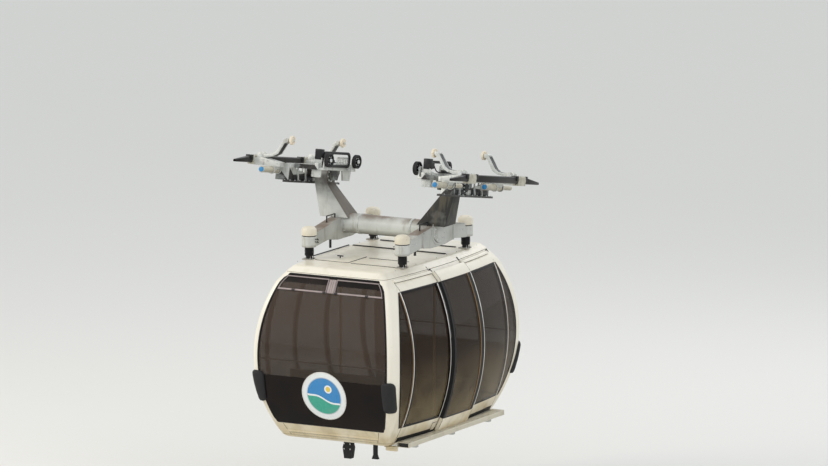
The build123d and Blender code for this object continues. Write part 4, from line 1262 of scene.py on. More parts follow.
def build_sides():
    """Side walls, panes, black bars, printed borders, and bright and brown trim strips of both sides."""
    first_bar = DOOR_HALF + MULLION / 2
    second_bar = first_bar + WIDE_PANE + MULLION
    proud = -0.004
    for side in ("door_side", "far_side"):
        has_door = side == "door_side"
        windows = side_windows() + ([] if has_door else [(-DOOR_HALF, DOOR_HALF)])
        wall, panes, bars, borders, trims, browns, seals = (bmesh.new() for _ in range(7))
        add_panel(wall, on_side, side_outline(), [window_band(has_door)])
        for span in windows:
            add_panel(panes, on_side, side_rectangle(*span, 0.001), step=0.08, **PANE)
            add_panel(borders, on_side, side_rectangle(*span, 0.002), [side_rectangle(*span, 0.030)],
                      step=0.08, **PRINT)
        for y in (-second_bar, -first_bar, first_bar, second_bar):
            half = MULLION / 2 + 0.001
            add_strip(bars, on_side, y - half, y + half, *SIDE_GLASS, outer=0.001, inner=WALL, bevel=0.001)
            add_strip(trims, on_side, y - 0.005, y + 0.006, *SIDE_GLASS, outer=proud, inner=0.001,
                      bevel=0.003)
        for y in (-second_bar - 0.020, second_bar + 0.020):
            add_strip(browns, on_side, y - 0.007, y + 0.007, *SIDE_GLASS, outer=-0.001, inner=0.002,
                      bevel=0.001)
        add_panel(seals, on_side, side_rectangle(-HALF_LENGTH, HALF_LENGTH, -0.003),
                  [side_rectangle(-HALF_LENGTH, HALF_LENGTH, 0.006)], outer=-0.0015, inner=0.002, bevel=0.001)
        # Black bands along the foot of the side by the doorway: the gap above the step, drawn black as its
        # painted shadow.
        for span in ((-1.30, -DOOR_HALF), (DOOR_HALF, 1.30)):
            add_strip(seals, on_side, *span, SHELL_LOW + 0.002, SHELL_LOW + 0.068, outer=proud, inner=0.002,
                      bevel=0.002)
        for y in (-1.318, 1.318) if has_door else (-first_bar, first_bar):
            add_strip(seals, on_side, y - 0.003, y + 0.003, SHELL_LOW, SIDE_GLASS_LOW, outer=-0.0008,
                      inner=0.002, bevel=0.0004)
        for bm in (wall, panes, bars, borders, trims, browns, seals) if not has_door else ():
            turned_over(bm)
        add_wall(f"{side}_skin", wall, f"{side}_wall")
        add_piece(f"{side}_panes", panes, "dark_glass", f"{side}_windows")
        add_piece(f"{side}_bars", bars, "seal_rubber")
        add_piece(f"{side}_pane_borders", borders, "black_border")
        add_piece(f"{side}_trims", trims, "trim_steel")
        add_piece(f"{side}_brown_bars", browns, "brown_anodised")
        add_piece(f"{side}_seals", seals, "seal_rubber")


def build_wall_details():
    """Fascia covers by the tracks, the latch plate, the seams round these and the door, with dark lines round
    the covers as their painted shadow lines, and track stops.
    """
    shadow_area = bmesh.new()
    for span in ((-1.285, -DOOR_HALF - 0.004), (DOOR_HALF + 0.004, 1.285)):
        add_strip(shadow_area, on_side, *span, SIDE_GLASS_TOP + 0.008, SHOULDER_Z + 0.080, outer=-0.004,
                  inner=0.002, bevel=0.003)
    latch = (-0.530, -0.440, -3.290, -3.190)
    add_strip(shadow_area, on_side, *latch, outer=-0.0045, inner=0.001, bevel=0.002)
    add_piece("fascia_covers", shadow_area, "cream_paint")
    seams = bmesh.new()
    # Dark seam lines round the fascia covers, which also stand as the covers' painted shadow lines.
    for low, high in ((-1.290, -DOOR_HALF + 0.001), (DOOR_HALF - 0.001, 1.290)):
        cover_edge = upright_strip(low, high, SIDE_GLASS_TOP + 0.003, SHOULDER_Z + 0.085)
        inner_edge = upright_strip(low + 0.005, high - 0.005, SIDE_GLASS_TOP + 0.008, SHOULDER_Z + 0.080)
        add_panel(seams, on_side, cover_edge, [inner_edge], outer=-0.001, inner=0.001, bevel=0.0004)
    add_panel(seams, on_side, upright_strip(-0.536, -0.434, -3.296, -3.184),
              [upright_strip(*latch)], outer=-0.002, inner=0.001, bevel=0.0005)
    add_strip(seams, on_side, -0.530, -0.440, -3.322, -3.300, outer=-0.004, inner=0.001, bevel=0.003)
    for y, half_width in ((DOOR_HALF + 0.014, 0.013), (-DOOR_HALF - 0.010, 0.003)):
        add_strip(seams, on_side, y - half_width, y + half_width, DOOR_TOP - 0.004, ROOF_Z - 0.045,
                  outer=-0.003, inner=0.001, bevel=0.001)
    add_strip(seams, on_side, DOOR_HALF + 0.004, DOOR_HALF + 0.022, SHELL_LOW, DOOR_TOP, outer=-0.004,
              inner=0.001, bevel=0.002)
    add_piece("wall_seams_and_shadow_lines", seams, "seal_rubber")
    rounded("door_tracks", 0.004, "cream_paint")
    stops = bmesh.new()
    for y in (-DOOR_HALF - 0.012, DOOR_HALF + DOOR_TRAVEL - 0.012):
        add_strip(stops, on_side, y, y + 0.014, -1.207, -1.173, outer=-0.029, inner=-0.001, bevel=0.002)
    add_piece("track_stops", stops, "black_steel")


def build_door():
    """Sliding leaf: cream rails, black stiles, pane, printed border, bright and brown strips, and seals."""
    face = -DOOR_GAP - DOOR_T
    half = DOOR_HALF
    stile = half - DOOR_STILE
    leaf = bmesh.new()
    for low, high in ((DOOR_LOW, SIDE_GLASS_LOW), (SIDE_GLASS_TOP, DOOR_TOP)):
        add_strip(leaf, on_side, -half, half, low, high, outer=face, inner=face + DOOR_T, bevel=0.004)
    foot = BOTTOM_Z + 0.124
    for side in (-1, 1):
        y0, y1 = sorted((side * half, side * (half - 0.076)))
        add_strip(leaf, on_side, y0, y1, DOOR_LOW, foot, outer=face - 0.0025, inner=face + 0.004, bevel=0.002)
    add_wall("door_leaf_skin", leaf, "door_leaf", DOOR)
    stiles = bmesh.new()
    for near, far in ((-half, -stile), (stile, half)):
        add_strip(stiles, on_side, near, far, *SIDE_GLASS, outer=face + 0.001, inner=face + DOOR_T,
                  bevel=0.003)
    border_end = half - 0.110
    add_strip(stiles, on_side, border_end, stile, *SIDE_GLASS, outer=face + GLASS_INSET - 0.0024,
              inner=face + GLASS_INSET - 0.0014, bevel=0.0004)
    add_piece("door_stiles", stiles, "seal_rubber", body=DOOR)
    pane = bmesh.new()
    add_strip(pane, on_side, -stile + 0.001, stile - 0.001, SIDE_GLASS_LOW + 0.001, SIDE_GLASS_TOP - 0.001,
              outer=face + GLASS_INSET, inner=face + GLASS_INSET + GLASS_T, bevel=0.0015, step=0.08)
    add_piece("door_pane", pane, "dark_glass", "door_glass", DOOR)
    border = bmesh.new()
    add_panel(border, on_side, upright_strip(-stile, stile, *SIDE_GLASS),
              [upright_strip(-stile + 0.014, border_end, SIDE_GLASS_LOW + 0.022, SIDE_GLASS_TOP - 0.022)],
              outer=face + GLASS_INSET - 0.0012, inner=face + GLASS_INSET - 0.0001, bevel=0.0004, step=0.08)
    add_piece("door_pane_border", border, "black_border", body=DOOR)
    trim = bmesh.new()
    add_strip(trim, on_side, half - 0.012, half - 0.001, *SIDE_GLASS, outer=face - 0.003, inner=face + 0.002,
              bevel=0.002)
    add_piece("door_trim", trim, "trim_steel", body=DOOR)
    brown = bmesh.new()
    add_strip(brown, on_side, border_end - 0.004, border_end + 0.016, *SIDE_GLASS,
              outer=face + GLASS_INSET - 0.005, inner=face + GLASS_INSET - 0.0005, bevel=0.001)
    add_piece("door_brown_bar", brown, "brown_anodised", body=DOOR)
    seal = bmesh.new()
    for near, far in ((-half + 0.001, -half + 0.006), (half - 0.006, half - 0.001)):
        for low, high in ((DOOR_LOW + 0.002, SIDE_GLASS_LOW), (SIDE_GLASS_TOP, DOOR_TOP - 0.002)):
            add_strip(seal, on_side, near, far, low, high, outer=face - 0.0006, inner=face + 0.002,
                      bevel=0.0004)
    add_strip(seal, on_side, -half, half, DOOR_LOW - 0.012, DOOR_LOW, outer=face + 0.012,
              inner=face + DOOR_T - 0.012, bevel=0.002)
    add_piece("door_seals", seal, "seal_rubber", body=DOOR)


def build_bumpers():
    """Pillow-shaped rubber pads round the four corners, with a groove along their edge."""
    near_s = sharp_corner_x(BULGE_Z) - 0.165
    far_s = belt_at(HALF_LENGTH - 0.125, (BUMPER_LOW + BUMPER_HIGH) / 2)
    bm = bmesh.new()
    pad = rectangle(near_s, far_s, BUMPER_LOW, BUMPER_HIGH)
    outline = dense(turned_left(soft_corners(pad, 0.062, 6)), 0.02)

    def place(s, z, depth):
        if depth > -0.001:
            return on_belt(s, z, -0.001)
        gap = min((Vector((s, z)) - Vector(p)).length for p in outline)
        swell = math.sqrt(max(0.0, 1 - (1 - min(1.0, gap / 0.036)) ** 2))
        return on_belt(s, z, -0.004 - (BUMPER_PROUD - 0.005) * swell)

    add_panel(bm, place, outline, outer=-0.01, inner=0.0, step=0.02, bevel=0.004)
    mirrored(bm, 0)
    mirrored(bm, 1)
    add_piece("bumper_pads", bm, "black_rubber", "bumpers", smooth=1.2)


def ring_of_plan(z, inset, count=24):
    """The skin's outline at a height, as points all the way round."""
    reach, _, turned, plan_reach = corner(z)
    arc = CORNER_R * turned
    side_turn = math.pi / 2 - turned
    quarter = [reach * i / count for i in range(count)]
    quarter += [reach + arc * i / 8 for i in range(8)]
    quarter += [reach + arc + side_turn * plan_reach * i / count for i in range(count + 1)]
    near_right = [on_belt(s, z) for s in quarter]
    far_right = [Vector((p.x, -p.y, p.z)) for p in reversed(near_right[:-1])]
    right = near_right + far_right
    left = [Vector((-p.x, p.y, p.z)) for p in reversed(right[1:-1])]
    scale_x = 1 - inset / side_profile(z)[0]
    scale_y = 1 - inset / end_profile(z)[0]
    return [Vector((p.x * scale_x, p.y * scale_y, p.z)) for p in right + left]


def build_roof():
    """Roof shell with a rolled rim, and its lining."""
    edge_z = ROOF_Z - ROOF_EDGE_DROP
    levels = [(SEAM_Z + 0.002, 0.003), (SEAM_Z + 0.004, 0.0), (edge_z - 0.035, 0.0), (edge_z - 0.018, 0.003)]
    rings = [ring_of_plan(z, inset) for z, inset in levels]
    rim = ring_of_plan(edge_z - 0.004, 0.012)
    rings.append(rim)
    rim_x = max(p.x for p in rim)
    rim_y = max(p.y for p in rim)
    for drop, inset in ((0.018, 0.012), (0.008, 0.028), (0.002, 0.048), (0.0, 0.070), (0.0, 0.25),
                        (0.0, 0.5)):
        rings.append([Vector((p.x * (1 - inset / rim_x), p.y * (1 - inset / rim_y), ROOF_Z - drop))
                      for p in rim])
    bm = bmesh.new()
    add_rings(bm, rings, (False, True))
    inner_low = [Vector((p.x * 0.955, p.y * 0.97, p.z)) for p in rings[0]]
    inner_high = [Vector((p.x * 0.88, p.y * 0.94, ROOF_Z - WALL)) for p in rim]
    lining = add_rings(bm, [rings[0], inner_low, inner_high], (False, True))
    bmesh.ops.remove_doubles(bm, verts=bm.verts, dist=1e-5)
    for face in lining:
        if face.is_valid:
            face.material_index = 1
    add_piece("roof_shell", bm, ("cream_paint", "inner_lining"), "roof_panel", smooth=0.7)


def build_floor():
    """Floor shell with a rolled lower edge, dark on top."""
    bm = bmesh.new()
    profile = [(SHELL_LOW - 0.001, 0.002), (SHELL_LOW - 0.003, 0.0), (BOTTOM_Z + 0.032, 0.004),
               (BOTTOM_Z + 0.016, 0.014), (BOTTOM_Z + 0.005, 0.028), (BOTTOM_Z + 0.001, 0.045),
               (BOTTOM_Z + 0.001, 0.30)]
    rings = [ring_of_plan(z, inset) for z, inset in profile]
    floor_top = [Vector((p.x * 0.95, p.y * 0.97, SHELL_LOW - 0.001)) for p in rings[0]]
    for face in add_rings(bm, [floor_top, *rings]):
        if face.calc_center_median().z > SHELL_LOW - 0.0015:
            face.material_index = 1
    add_piece("floor_shell", bm, ("cream_paint", "inner_plastic"), "floor_panel", smooth=0.7)


def build_roof_details():
    """Hatch with its gap and handle, raised seams and edge strips."""
    hatch = bmesh.new()
    x0, x1, y0, y1 = -0.60, -0.11, -0.88, -0.37
    outline = soft_corners(rectangle(x0, x1, y0, y1), 0.03)
    add_prism(hatch, outline, (0, 1), ROOF_Z - 0.002, ROOF_Z + 0.008, 0.003)
    add_piece("roof_hatch_lid", hatch, "cream_paint")
    lines = bmesh.new()
    rim = soft_corners(rectangle(x0 - 0.010, x1 + 0.010, y0 - 0.010, y1 + 0.010), 0.036)
    add_prism(lines, rim, (0, 1), ROOF_Z - 0.001, ROOF_Z + 0.0035, 0.0, [outline])
    for lx0, lx1, y in ((-0.03, 0.57, -0.445), (-0.05, 0.615, -0.905)):
        add_block(lines, (lx0, y - 0.005, ROOF_Z - 0.001), (lx1, y + 0.005, ROOF_Z + 0.005), 0.0015)
    add_block(lines, (-0.765, -0.66, ROOF_Z - 0.002), (-0.748, 0.31, ROOF_Z + 0.010), 0.003)
    handle = ((x0 + x1) / 2, (y0 + y1) / 2 - 0.02)
    add_rod(lines, (handle[0], handle[1], ROOF_Z + 0.006), (handle[0], handle[1], ROOF_Z + 0.034), 0.008)
    add_rod(lines, (handle[0] - 0.045, handle[1], ROOF_Z + 0.036),
            (handle[0] + 0.045, handle[1], ROOF_Z + 0.036), 0.008)
    add_piece("roof_lines", lines, "seal_rubber")
    rounded("roof_strips", 0.003, "seal_rubber")


def build_damper_feet():
    """Screwed plates with upright lugs on the roof, under the four dampers."""
    plates = bmesh.new()
    spots = []
    for x, y in DAMPER_PLACES:
        plate = soft_corners(rectangle(x - 0.075, x + 0.060, y - 0.075, y + 0.075), 0.02)
        add_prism(plates, plate, (0, 1), ROOF_Z - 0.004, ROOF_Z + 0.010, 0.002)
        lug = [(y - 0.030, ROOF_Z + 0.008), (y + 0.030, ROOF_Z + 0.008), (y + 0.022, ROOF_Z + 0.070),
               (y - 0.022, ROOF_Z + 0.070)]
        for start in (-0.036, 0.022):
            add_prism(plates, lug, (1, 2), x + start, x + start + 0.014, 0.002)
        spots += [((x + dx, y + dy, ROOF_Z + 0.010), UP) for dx in (-0.060, 0.045) for dy in (-0.058, 0.058)]
    add_piece("damper_feet", plates, "housing_paint")
    add_screws("damper_foot_screws", spots, 0.007, "bright_steel", CABIN)


def build_rim_screws():
    """A row of small screws along each side of the roof."""
    spots = []
    for step in range(9):
        y = -1.12 + 0.28 * step
        spots += [((side * 0.735, y, ROOF_Z), UP) for side in (-1, 1) if abs(abs(y) - DAMPER_Y) > 0.1]
    add_screws("roof_rim_screws", spots, 0.006, "silver_paint", CABIN)


def build_step():
    """Running board: extruded profile, tread ribs, and the brackets and dark plugs at its ends."""
    rounded("step", 0.003, "aluminium")
    ribs = bmesh.new()
    for x in (0.925, 0.950, 0.975, 1.000):
        add_block(ribs, (x, -STEP_HALF + 0.02, STEP_TOP - 0.001),
                  (x + 0.008, STEP_HALF - 0.02, STEP_TOP + 0.003), 0.0012, 1)
    add_block(ribs, (STEP_OUT - 0.004, -STEP_HALF + 0.01, STEP_TOP - 0.040),
              (STEP_OUT + 0.004, STEP_HALF - 0.01, STEP_TOP - 0.030), 0.002)
    add_piece("step_ribs", ribs, "aluminium")
    brackets = bmesh.new()
    arm = soft_corners([(0.700, -3.445), (STEP_IN + 0.010, -3.445), (STEP_IN + 0.010, -3.3845),
                        (0.700, -3.3805)], 0.010)
    for y in (-STEP_HALF + 0.012, STEP_HALF - 0.012):
        add_prism(brackets, arm, (0, 2), y - 0.010, y + 0.010, 0.003)
        add_block(brackets, (0.700, y - 0.05, -3.392), (0.880, y + 0.05, -3.3835), 0.002)
    add_piece("step_brackets", brackets, "cream_paint")
    dark = bmesh.new()
    for y0, y1 in ((-STEP_HALF + 0.006, -STEP_HALF + 0.010), (STEP_HALF - 0.010, STEP_HALF - 0.006)):
        add_block(dark, (STEP_IN + 0.05, y0, STEP_TOP - 0.060), (STEP_OUT - 0.0065, y1, STEP_TOP - 0.0065),
                  0.001)
    add_piece("step_end_plugs", dark, "seal_rubber")
    spots = [((STEP_OUT - 0.02, y, STEP_TOP), UP) for y in (-1.2, -0.8, -0.4, 0.0, 0.4, 0.8, 1.2)]
    add_screws("step_screws", spots, 0.006, "bright_steel", CABIN)


def build_inside():
    """Grab poles with flanges, the rail behind each end window, seat shells, lamp bars and a floor strip."""
    poles = bmesh.new()
    ceiling = ROOF_Z - WALL
    run = ceiling - SHELL_LOW
    profile = [(0.0, 0.0), (0.0, 0.042), (0.004, 0.045), (0.010, 0.045), (0.014, 0.022), (0.030, 0.017),
               (run - 0.030, 0.017), (run - 0.014, 0.022), (run - 0.010, 0.045), (run - 0.004, 0.045),
               (run, 0.042), (run, 0.0)]
    for x in (-0.350, 0.350):
        for y in (-0.650, 0.650):
            add_lathe(poles, profile, (x, y, SHELL_LOW), UP, 20)
    add_piece("grab_poles_worked", poles, "pole_metal", "grab_poles")
    rails = bmesh.new()
    z = BOTTOM_Z + 1.078
    wall_y = end_profile(z)[0] - WALL / 2
    y = end_profile(z)[0] - 0.100
    half = sharp_corner_x(z) - END_GLASS_SIDE + 0.004
    route = [(-half, -wall_y), (-half, -y - 0.03), (-half + 0.03, -y), (0, -y), (half - 0.03, -y),
             (half, -y - 0.03), (half, -wall_y)]
    add_tube(rails, [(*spot, z) for spot in route], 0.010, 10)
    mirrored(rails, 1)
    add_piece("inner_rails", rails, "vent_metal", "handrails")
    rounded("benches", 0.012, "inner_plastic")
    lamps = bmesh.new()
    for x in (-0.42, 0.42):
        add_block(lamps, (x - 0.035, -1.05, ceiling - 0.045), (x + 0.035, 1.05, ceiling + 0.002), 0.010)
    add_block(lamps, (-0.70, -0.012, SHELL_LOW - 0.001), (0.70, 0.012, SHELL_LOW + 0.004), 0.002)
    add_piece("ceiling_lamps", lamps, "inner_lining")


# Underside, disc and hanger


def circle(centre, radius, count=32):
    """Points of a circle in a plane."""
    turns = [2 * math.pi * i / count for i in range(count)]
    return [(centre[0] + radius * math.cos(t), centre[1] + radius * math.sin(t)) for t in turns]


def build_disc():
    """Plain round disc with a raised pale rim on the near end."""
    bm = bmesh.new()
    add_panel(bm, on_end, circle((0, DISC_Z), DISC_R, 96), outer=-0.0008, inner=GLASS_INSET, bevel=0.001)
    add_piece("round_disc", bm, "disc_enamel", "emblem_disc")
    bm = bmesh.new()
    add_panel(bm, on_end, circle((0, DISC_Z), DISC_R, 96), [circle((0, DISC_Z), DISC_R - 0.012, 96)],
              outer=-0.003, inner=-0.0006, bevel=0.001)
    add_piece("round_disc_rim", bm, "trim_steel")


def build_underside():
    """Frame members, gussets with their bolts, and the guide shoes with wear plates."""
    rounded("underframe", 0.004, "grey_paint")
    rounded("guide_shoes", 0.006, "black_rubber")
    bm = bmesh.new()
    spots = []
    for y in (-1.010, 0.0, 1.010):
        for side in (-1, 1):
            add_block(bm, (side * 0.480 - 0.055, y - 0.055, -3.436),
                      (side * 0.480 + 0.055, y + 0.055, -3.4295), 0.002)
            spots += [((side * 0.480 + dx, y + dy, -3.436), (0, 0, -1)) for dx in (-0.035, 0.035)
                      for dy in (-0.035, 0.035)]
    add_piece("underframe_gussets", bm, "grey_paint")
    add_screws("underframe_bolts", spots, 0.008, "black_steel", CABIN)
    shoe_spots = [((x, -1.060, z), (0, -1, 0)) for x in (-0.070, 0.020) for z in (-3.470, -3.540)]
    add_screws("shoe_bolts", shoe_spots, 0.007, "bright_steel", CABIN)


def build_dampers():
    """Domed caps, ribbed seals, banded housings, bellows and small fittings of the four dampers."""
    caps, housings, bellows, loops = (bmesh.new() for _ in range(4))
    quarter = [math.radians(90 * k / 7) for k in range(8)]
    flat = CAP_R - CAP_H / 2
    cap = [(0.0, 0.0), (0.0, CAP_R - 0.004), (0.004, CAP_R), (0.014, CAP_R), (0.016, CAP_R - 0.003),
           (0.020, CAP_R - 0.003), (0.022, CAP_R - 0.001)]
    cap += [(CAP_H / 2 * (1 + math.sin(t)), flat + (CAP_H / 2 - 0.001) * math.cos(t)) for t in quarter]
    cap += [(CAP_H, 0.0)]
    high = DAMPER_HIGH - DAMPER_LOW
    shell = DAMPER_R + 0.0015
    housing = [(0.0, 0.0), (0.0, shell - 0.008), (0.006, shell - 0.001), (0.022, shell),
               (0.024, shell - 0.003), (0.029, shell - 0.003), (0.031, shell), (high - 0.030, shell),
               (high - 0.028, shell + 0.003), (high - 0.006, shell + 0.003), (high, shell - 0.001),
               (high, 0.0)]
    run = DAMPER_LOW - ROOF_Z
    bellow = [(0.006, 0.0), (0.006, 0.041), (0.040, 0.041), (0.044, 0.050)]
    folds = 6
    for i in range(folds):
        base = 0.048 + (run - 0.054) * i / folds
        fold = (run - 0.054) / folds
        bellow += [(base, 0.050), (base + fold * 0.35, 0.060), (base + fold * 0.65, 0.060),
                   (base + fold, 0.050)]
    bellow += [(run + 0.002, 0.048), (run + 0.002, 0.0)]
    reach = DAMPER_R + 0.004
    for x, y in DAMPER_PLACES:
        add_lathe(caps, cap, (x, y, CAP_LOW), UP, 40)
        add_lathe(housings, housing, (x, y, DAMPER_LOW), UP, 40)
        add_lathe(bellows, bellow, (x, y, ROOF_Z), UP, 28)
        side = 1 if x > 0 else -1
        way = 1 if y > 0 else -1
        for lift in (0.075, 0.110):
            near = (x - side * reach, y + way * 0.020, DAMPER_LOW + lift)
            far = (x - side * reach, y - way * 0.035, DAMPER_LOW + lift)
            out = (x - side * (reach + 0.036), y - way * 0.008, DAMPER_LOW + lift - 0.010)
            add_tube(loops, [near, out, far], 0.005)
        add_tube(loops, [(x + 0.050, y, DAMPER_LOW + 0.004), (x + 0.068, y, DAMPER_LOW - 0.030),
                         (x + 0.064, y, ROOF_Z + 0.006)], 0.004)
    add_piece("damper_domes", caps, "cream_plastic", "damper_caps")
    add_piece("damper_bellows", bellows, "black_rubber", "damper_rods")
    add_piece("damper_housings", housings, "housing_paint")
    add_piece("damper_loops", loops, "black_steel")
    rounded("damper_rings", 0.002, "black_rubber")


def off_the_pin(place):
    """Keeps the facets of an arm's bore clear of the pin that turns in it."""
    around = Vector((0.0, place.y, place.z + PIVOT_DROP))
    if around.length > 0.040:
        return place
    return Vector((place.x, 0.0, -PIVOT_DROP)) + around.normalized() * max(0.0375, around.length)


def bolt_ring(x, middle, radius, count, way, first=0.0):
    """Spots of a ring of bolts on a face square to X; first is a share of one step."""
    turns = [2 * math.pi * (k + first) / count for k in range(count)]
    return [((x, middle[0] + radius * math.cos(t), middle[1] + radius * math.sin(t)), (way, 0, 0))
            for t in turns]


def add_straps(bm, bolts, side):
    """Adds one side's two straps round the tube, with their bolts."""
    profile = [(0.0, 0.0), (0.0, TUBE_R + 0.003), (0.003, TUBE_R + 0.006), (0.033, TUBE_R + 0.006),
               (0.036, TUBE_R + 0.003), (0.036, 0.0)]
    for x in (0.600, 0.395):
        add_lathe(bm, profile, (side * x - 0.018, 0, TUBE_Z), (1, 0, 0), 48)
        for turn in (-130, 50):
            lift = Vector((0, math.sin(math.radians(turn)), math.cos(math.radians(turn))))
            bolts.append((Vector((side * x, 0, TUBE_Z)) + lift * (TUBE_R + 0.006), lift))


def add_tube_welds(bm, side):
    """Adds the weld beads on both faces of one side's beam, round the tube."""
    outer = [(0.0, 0.0), (0.0, TUBE_R + 0.010), (0.006, TUBE_R + 0.004), (0.010, 0.0)]
    inner = [(0.0, 0.0), (0.0, TUBE_R + 0.012), (0.009, TUBE_R + 0.002), (0.012, 0.0)]
    add_lathe(bm, outer, (side * (BEAM_X + BEAM_HALF) - side * 0.002, 0, TUBE_Z), (-side, 0, 0), 48)
    add_lathe(bm, inner, (side * (BEAM_X - BEAM_HALF), 0, TUBE_Z), (-side, 0, 0), 48)


def add_hanger_plates(bm, bolts, side):
    """Adds one side's ring round the tube, the beam's ribs and lips, and the bolted rings round the pivot."""
    face = side * (BEAM_X + BEAM_HALF)
    x0, x1 = sorted((face, face + side * 0.007))
    ring, hole = circle((0.0, TUBE_Z), TUBE_R + 0.055, 40), circle((0.0, TUBE_Z), TUBE_R + 0.024, 40)
    add_prism(bm, ring, (1, 2), x0, x1, 0.002, [hole])
    for way in (-1, 1):
        rib = [(way * 0.40, -0.690), (way * 0.43, -0.702), (way * 0.43, -0.880), (way * 0.40, -0.897)]
        add_prism(bm, turned_left(rib), (1, 2), x0, x1 + (0.004 if side > 0 else 0.0), 0.002)
        lip = [(way * 0.17, -0.6345), (way * 0.72, -0.720), (way * 0.72, -0.7265), (way * 0.17, -0.6410)]
        add_prism(bm, turned_left(lip), (1, 2), side * BEAM_X - 0.078, side * BEAM_X + 0.078, 0.0025)
    for x, way in ((side * 1.050, side), (side * 0.860, -side)):
        low, high = sorted((x, x + way * 0.0045))
        add_prism(bm, circle((0, -PIVOT_DROP), 0.088, 40), (1, 2), low, high, 0.0015,
                  [circle((0, -PIVOT_DROP), 0.062, 32)])
        bolts += bolt_ring(x + way * 0.0045, (0, -PIVOT_DROP), 0.075, 8, way)


def add_conduits(bm, side):
    """Adds one side's cable bracket, stub and conduit."""
    near, far = side * BEAM_X - 0.009, side * BEAM_X + 0.009
    for y0, y1, z0, z1 in ((-0.400, -0.170, -0.590, -0.577), (-0.180, -0.167, -0.644, -0.584),
                           (-0.400, -0.388, -0.668, -0.584)):
        add_block(bm, (near, y0, z0), (far, y1, z1), 0.003)
    add_rod(bm, (side * 0.637, -0.41, -0.890), (side * 0.637, -0.41, -1.000), 0.0165)
    route = ((0.80, 0.02, -0.66), (0.84, -0.10, -0.52), (0.86, -0.098, -0.36), (0.865, -0.085, -0.21))
    add_tube(bm, [(side * x, y, z) for x, y, z in route], 0.007)


def build_hanger():
    """Tube, beams and arms with softened edges, straps, doubling plates, weld beads and bolts."""
    rounded("cross_tube", 0.006, "grey_paint", 0.6)
    rounded("side_beams", 0.006, "grey_paint")
    rounded("hanger_arms", 0.008, "arm_paint", 0.6, ease=off_the_pin)
    straps, plates, welds, wires = (bmesh.new() for _ in range(4))
    bolts = []
    for side in (-1, 1):
        add_straps(straps, bolts, side)
        add_tube_welds(welds, side)
        bolts += bolt_ring(side * (BEAM_X + BEAM_HALF + 0.022), (0, TUBE_Z), 0.128, 10, side, 0.5)
        add_hanger_plates(plates, bolts, side)
        face = side * (BEAM_X + BEAM_HALF)
        bolts += [((face, y, -0.800), (side, 0, 0)) for y in (-0.70, -0.62, 0.62, 0.70)]
        add_conduits(wires, side)
    add_piece("tube_straps", straps, "silver_paint")
    add_piece("hanger_plates", plates, "grey_paint")
    add_piece("hanger_welds", welds, "grey_paint", smooth=1.2)
    add_piece("hanger_conduits", wires, "black_steel")
    add_screws("hanger_bolts", bolts, 0.009, "bright_steel", CABIN)


# Carriages, drawn level about the right-hand pivot, then leant by the slope and mirrored for the left

LEAN = Matrix.Translation((0, 0, -PIVOT_DROP)) @ Matrix.Rotation(-SLOPE, 4, "X")


def both_carriages(name, bm, material, node=None, body="carriage"):
    """Leans a right-hand piece by the slope, mirrors it for the left, and adds both."""
    bm.transform(LEAN)
    for side in ("right", "left"):
        half = bm.copy()
        if side == "left":
            half.transform(Matrix.Scale(-1, 4, (1, 0, 0)))
            bmesh.ops.reverse_faces(half, faces=half.faces)
        add_piece(f"{side}_{name}", half, material, node and f"{side}_{node}", f"{side}_{body}")
    bm.free()


def carriage_screws(name, spots, radius, material, body="carriage"):
    """Screws on both carriages, given on the right one before it leans."""
    turn = LEAN.to_3x3()
    leaning = [(LEAN @ Vector(place), turn @ Vector(way)) for place, way in spots]
    add_screws(f"right_{name}", leaning, radius, material, f"right_{body}")
    turned = [((-place.x, place.y, place.z), (-way.x, way.y, way.z)) for place, way in leaning]
    add_screws(f"left_{name}", turned, radius, material, f"left_{body}")


def from_sleeve(points):
    """(x, z) of points given in millimetres as (inboard of the sleeve's axis, over the axis)."""
    return turned_left([(SLEEVE_X - inboard / 1000, SLEEVE_Z + over / 1000) for inboard, over in points])


def build_wheels():
    """Running wheels with grooved treads, recessed webs, hubs and bolts, each on its own body."""
    half = 0.028
    tread = [(-half, 0.0), (-half, 0.034), (-0.010, 0.036), (-0.010, 0.064), (-0.022, 0.068), (-half, 0.072),
             (-half, 0.087), (-0.023, 0.092), (-0.005, 0.092), (-0.003, 0.089), (0.003, 0.089),
             (0.005, 0.092), (0.023, 0.092), (half, 0.087), (half, 0.072), (0.022, 0.068), (0.010, 0.064),
             (0.010, 0.036), (half, 0.034), (half, 0.0)]
    hub = [(-0.042, 0.0), (-0.042, 0.013), (-0.038, 0.022), (-0.026, 0.027), (-0.020, 0.031), (0.020, 0.031),
           (0.026, 0.030), (0.0345, 0.026), (0.0345, 0.0)]
    for name, y in WHEEL_PLACES.items():
        wheel, middle = bmesh.new(), bmesh.new()
        add_lathe(wheel, tread, (WHEEL_X, y, WHEEL_Z), (1, 0, 0), 44)
        both_carriages(f"{name}_tread", wheel, "black_rubber", f"{name}_wheel",
                       f"{name}_wheel")
        add_lathe(middle, hub, (WHEEL_X, y, WHEEL_Z), (1, 0, 0), 24)
        both_carriages(f"{name}_hub", middle, "bright_steel", None, f"{name}_wheel")
        spots = [spot for way in (-1, 1)
                 for spot in bolt_ring(WHEEL_X + way * 0.010, (y, WHEEL_Z), 0.050, 6, way)]
        carriage_screws(f"{name}_wheel_bolts", spots, 0.006, "bright_steel", f"{name}_wheel")


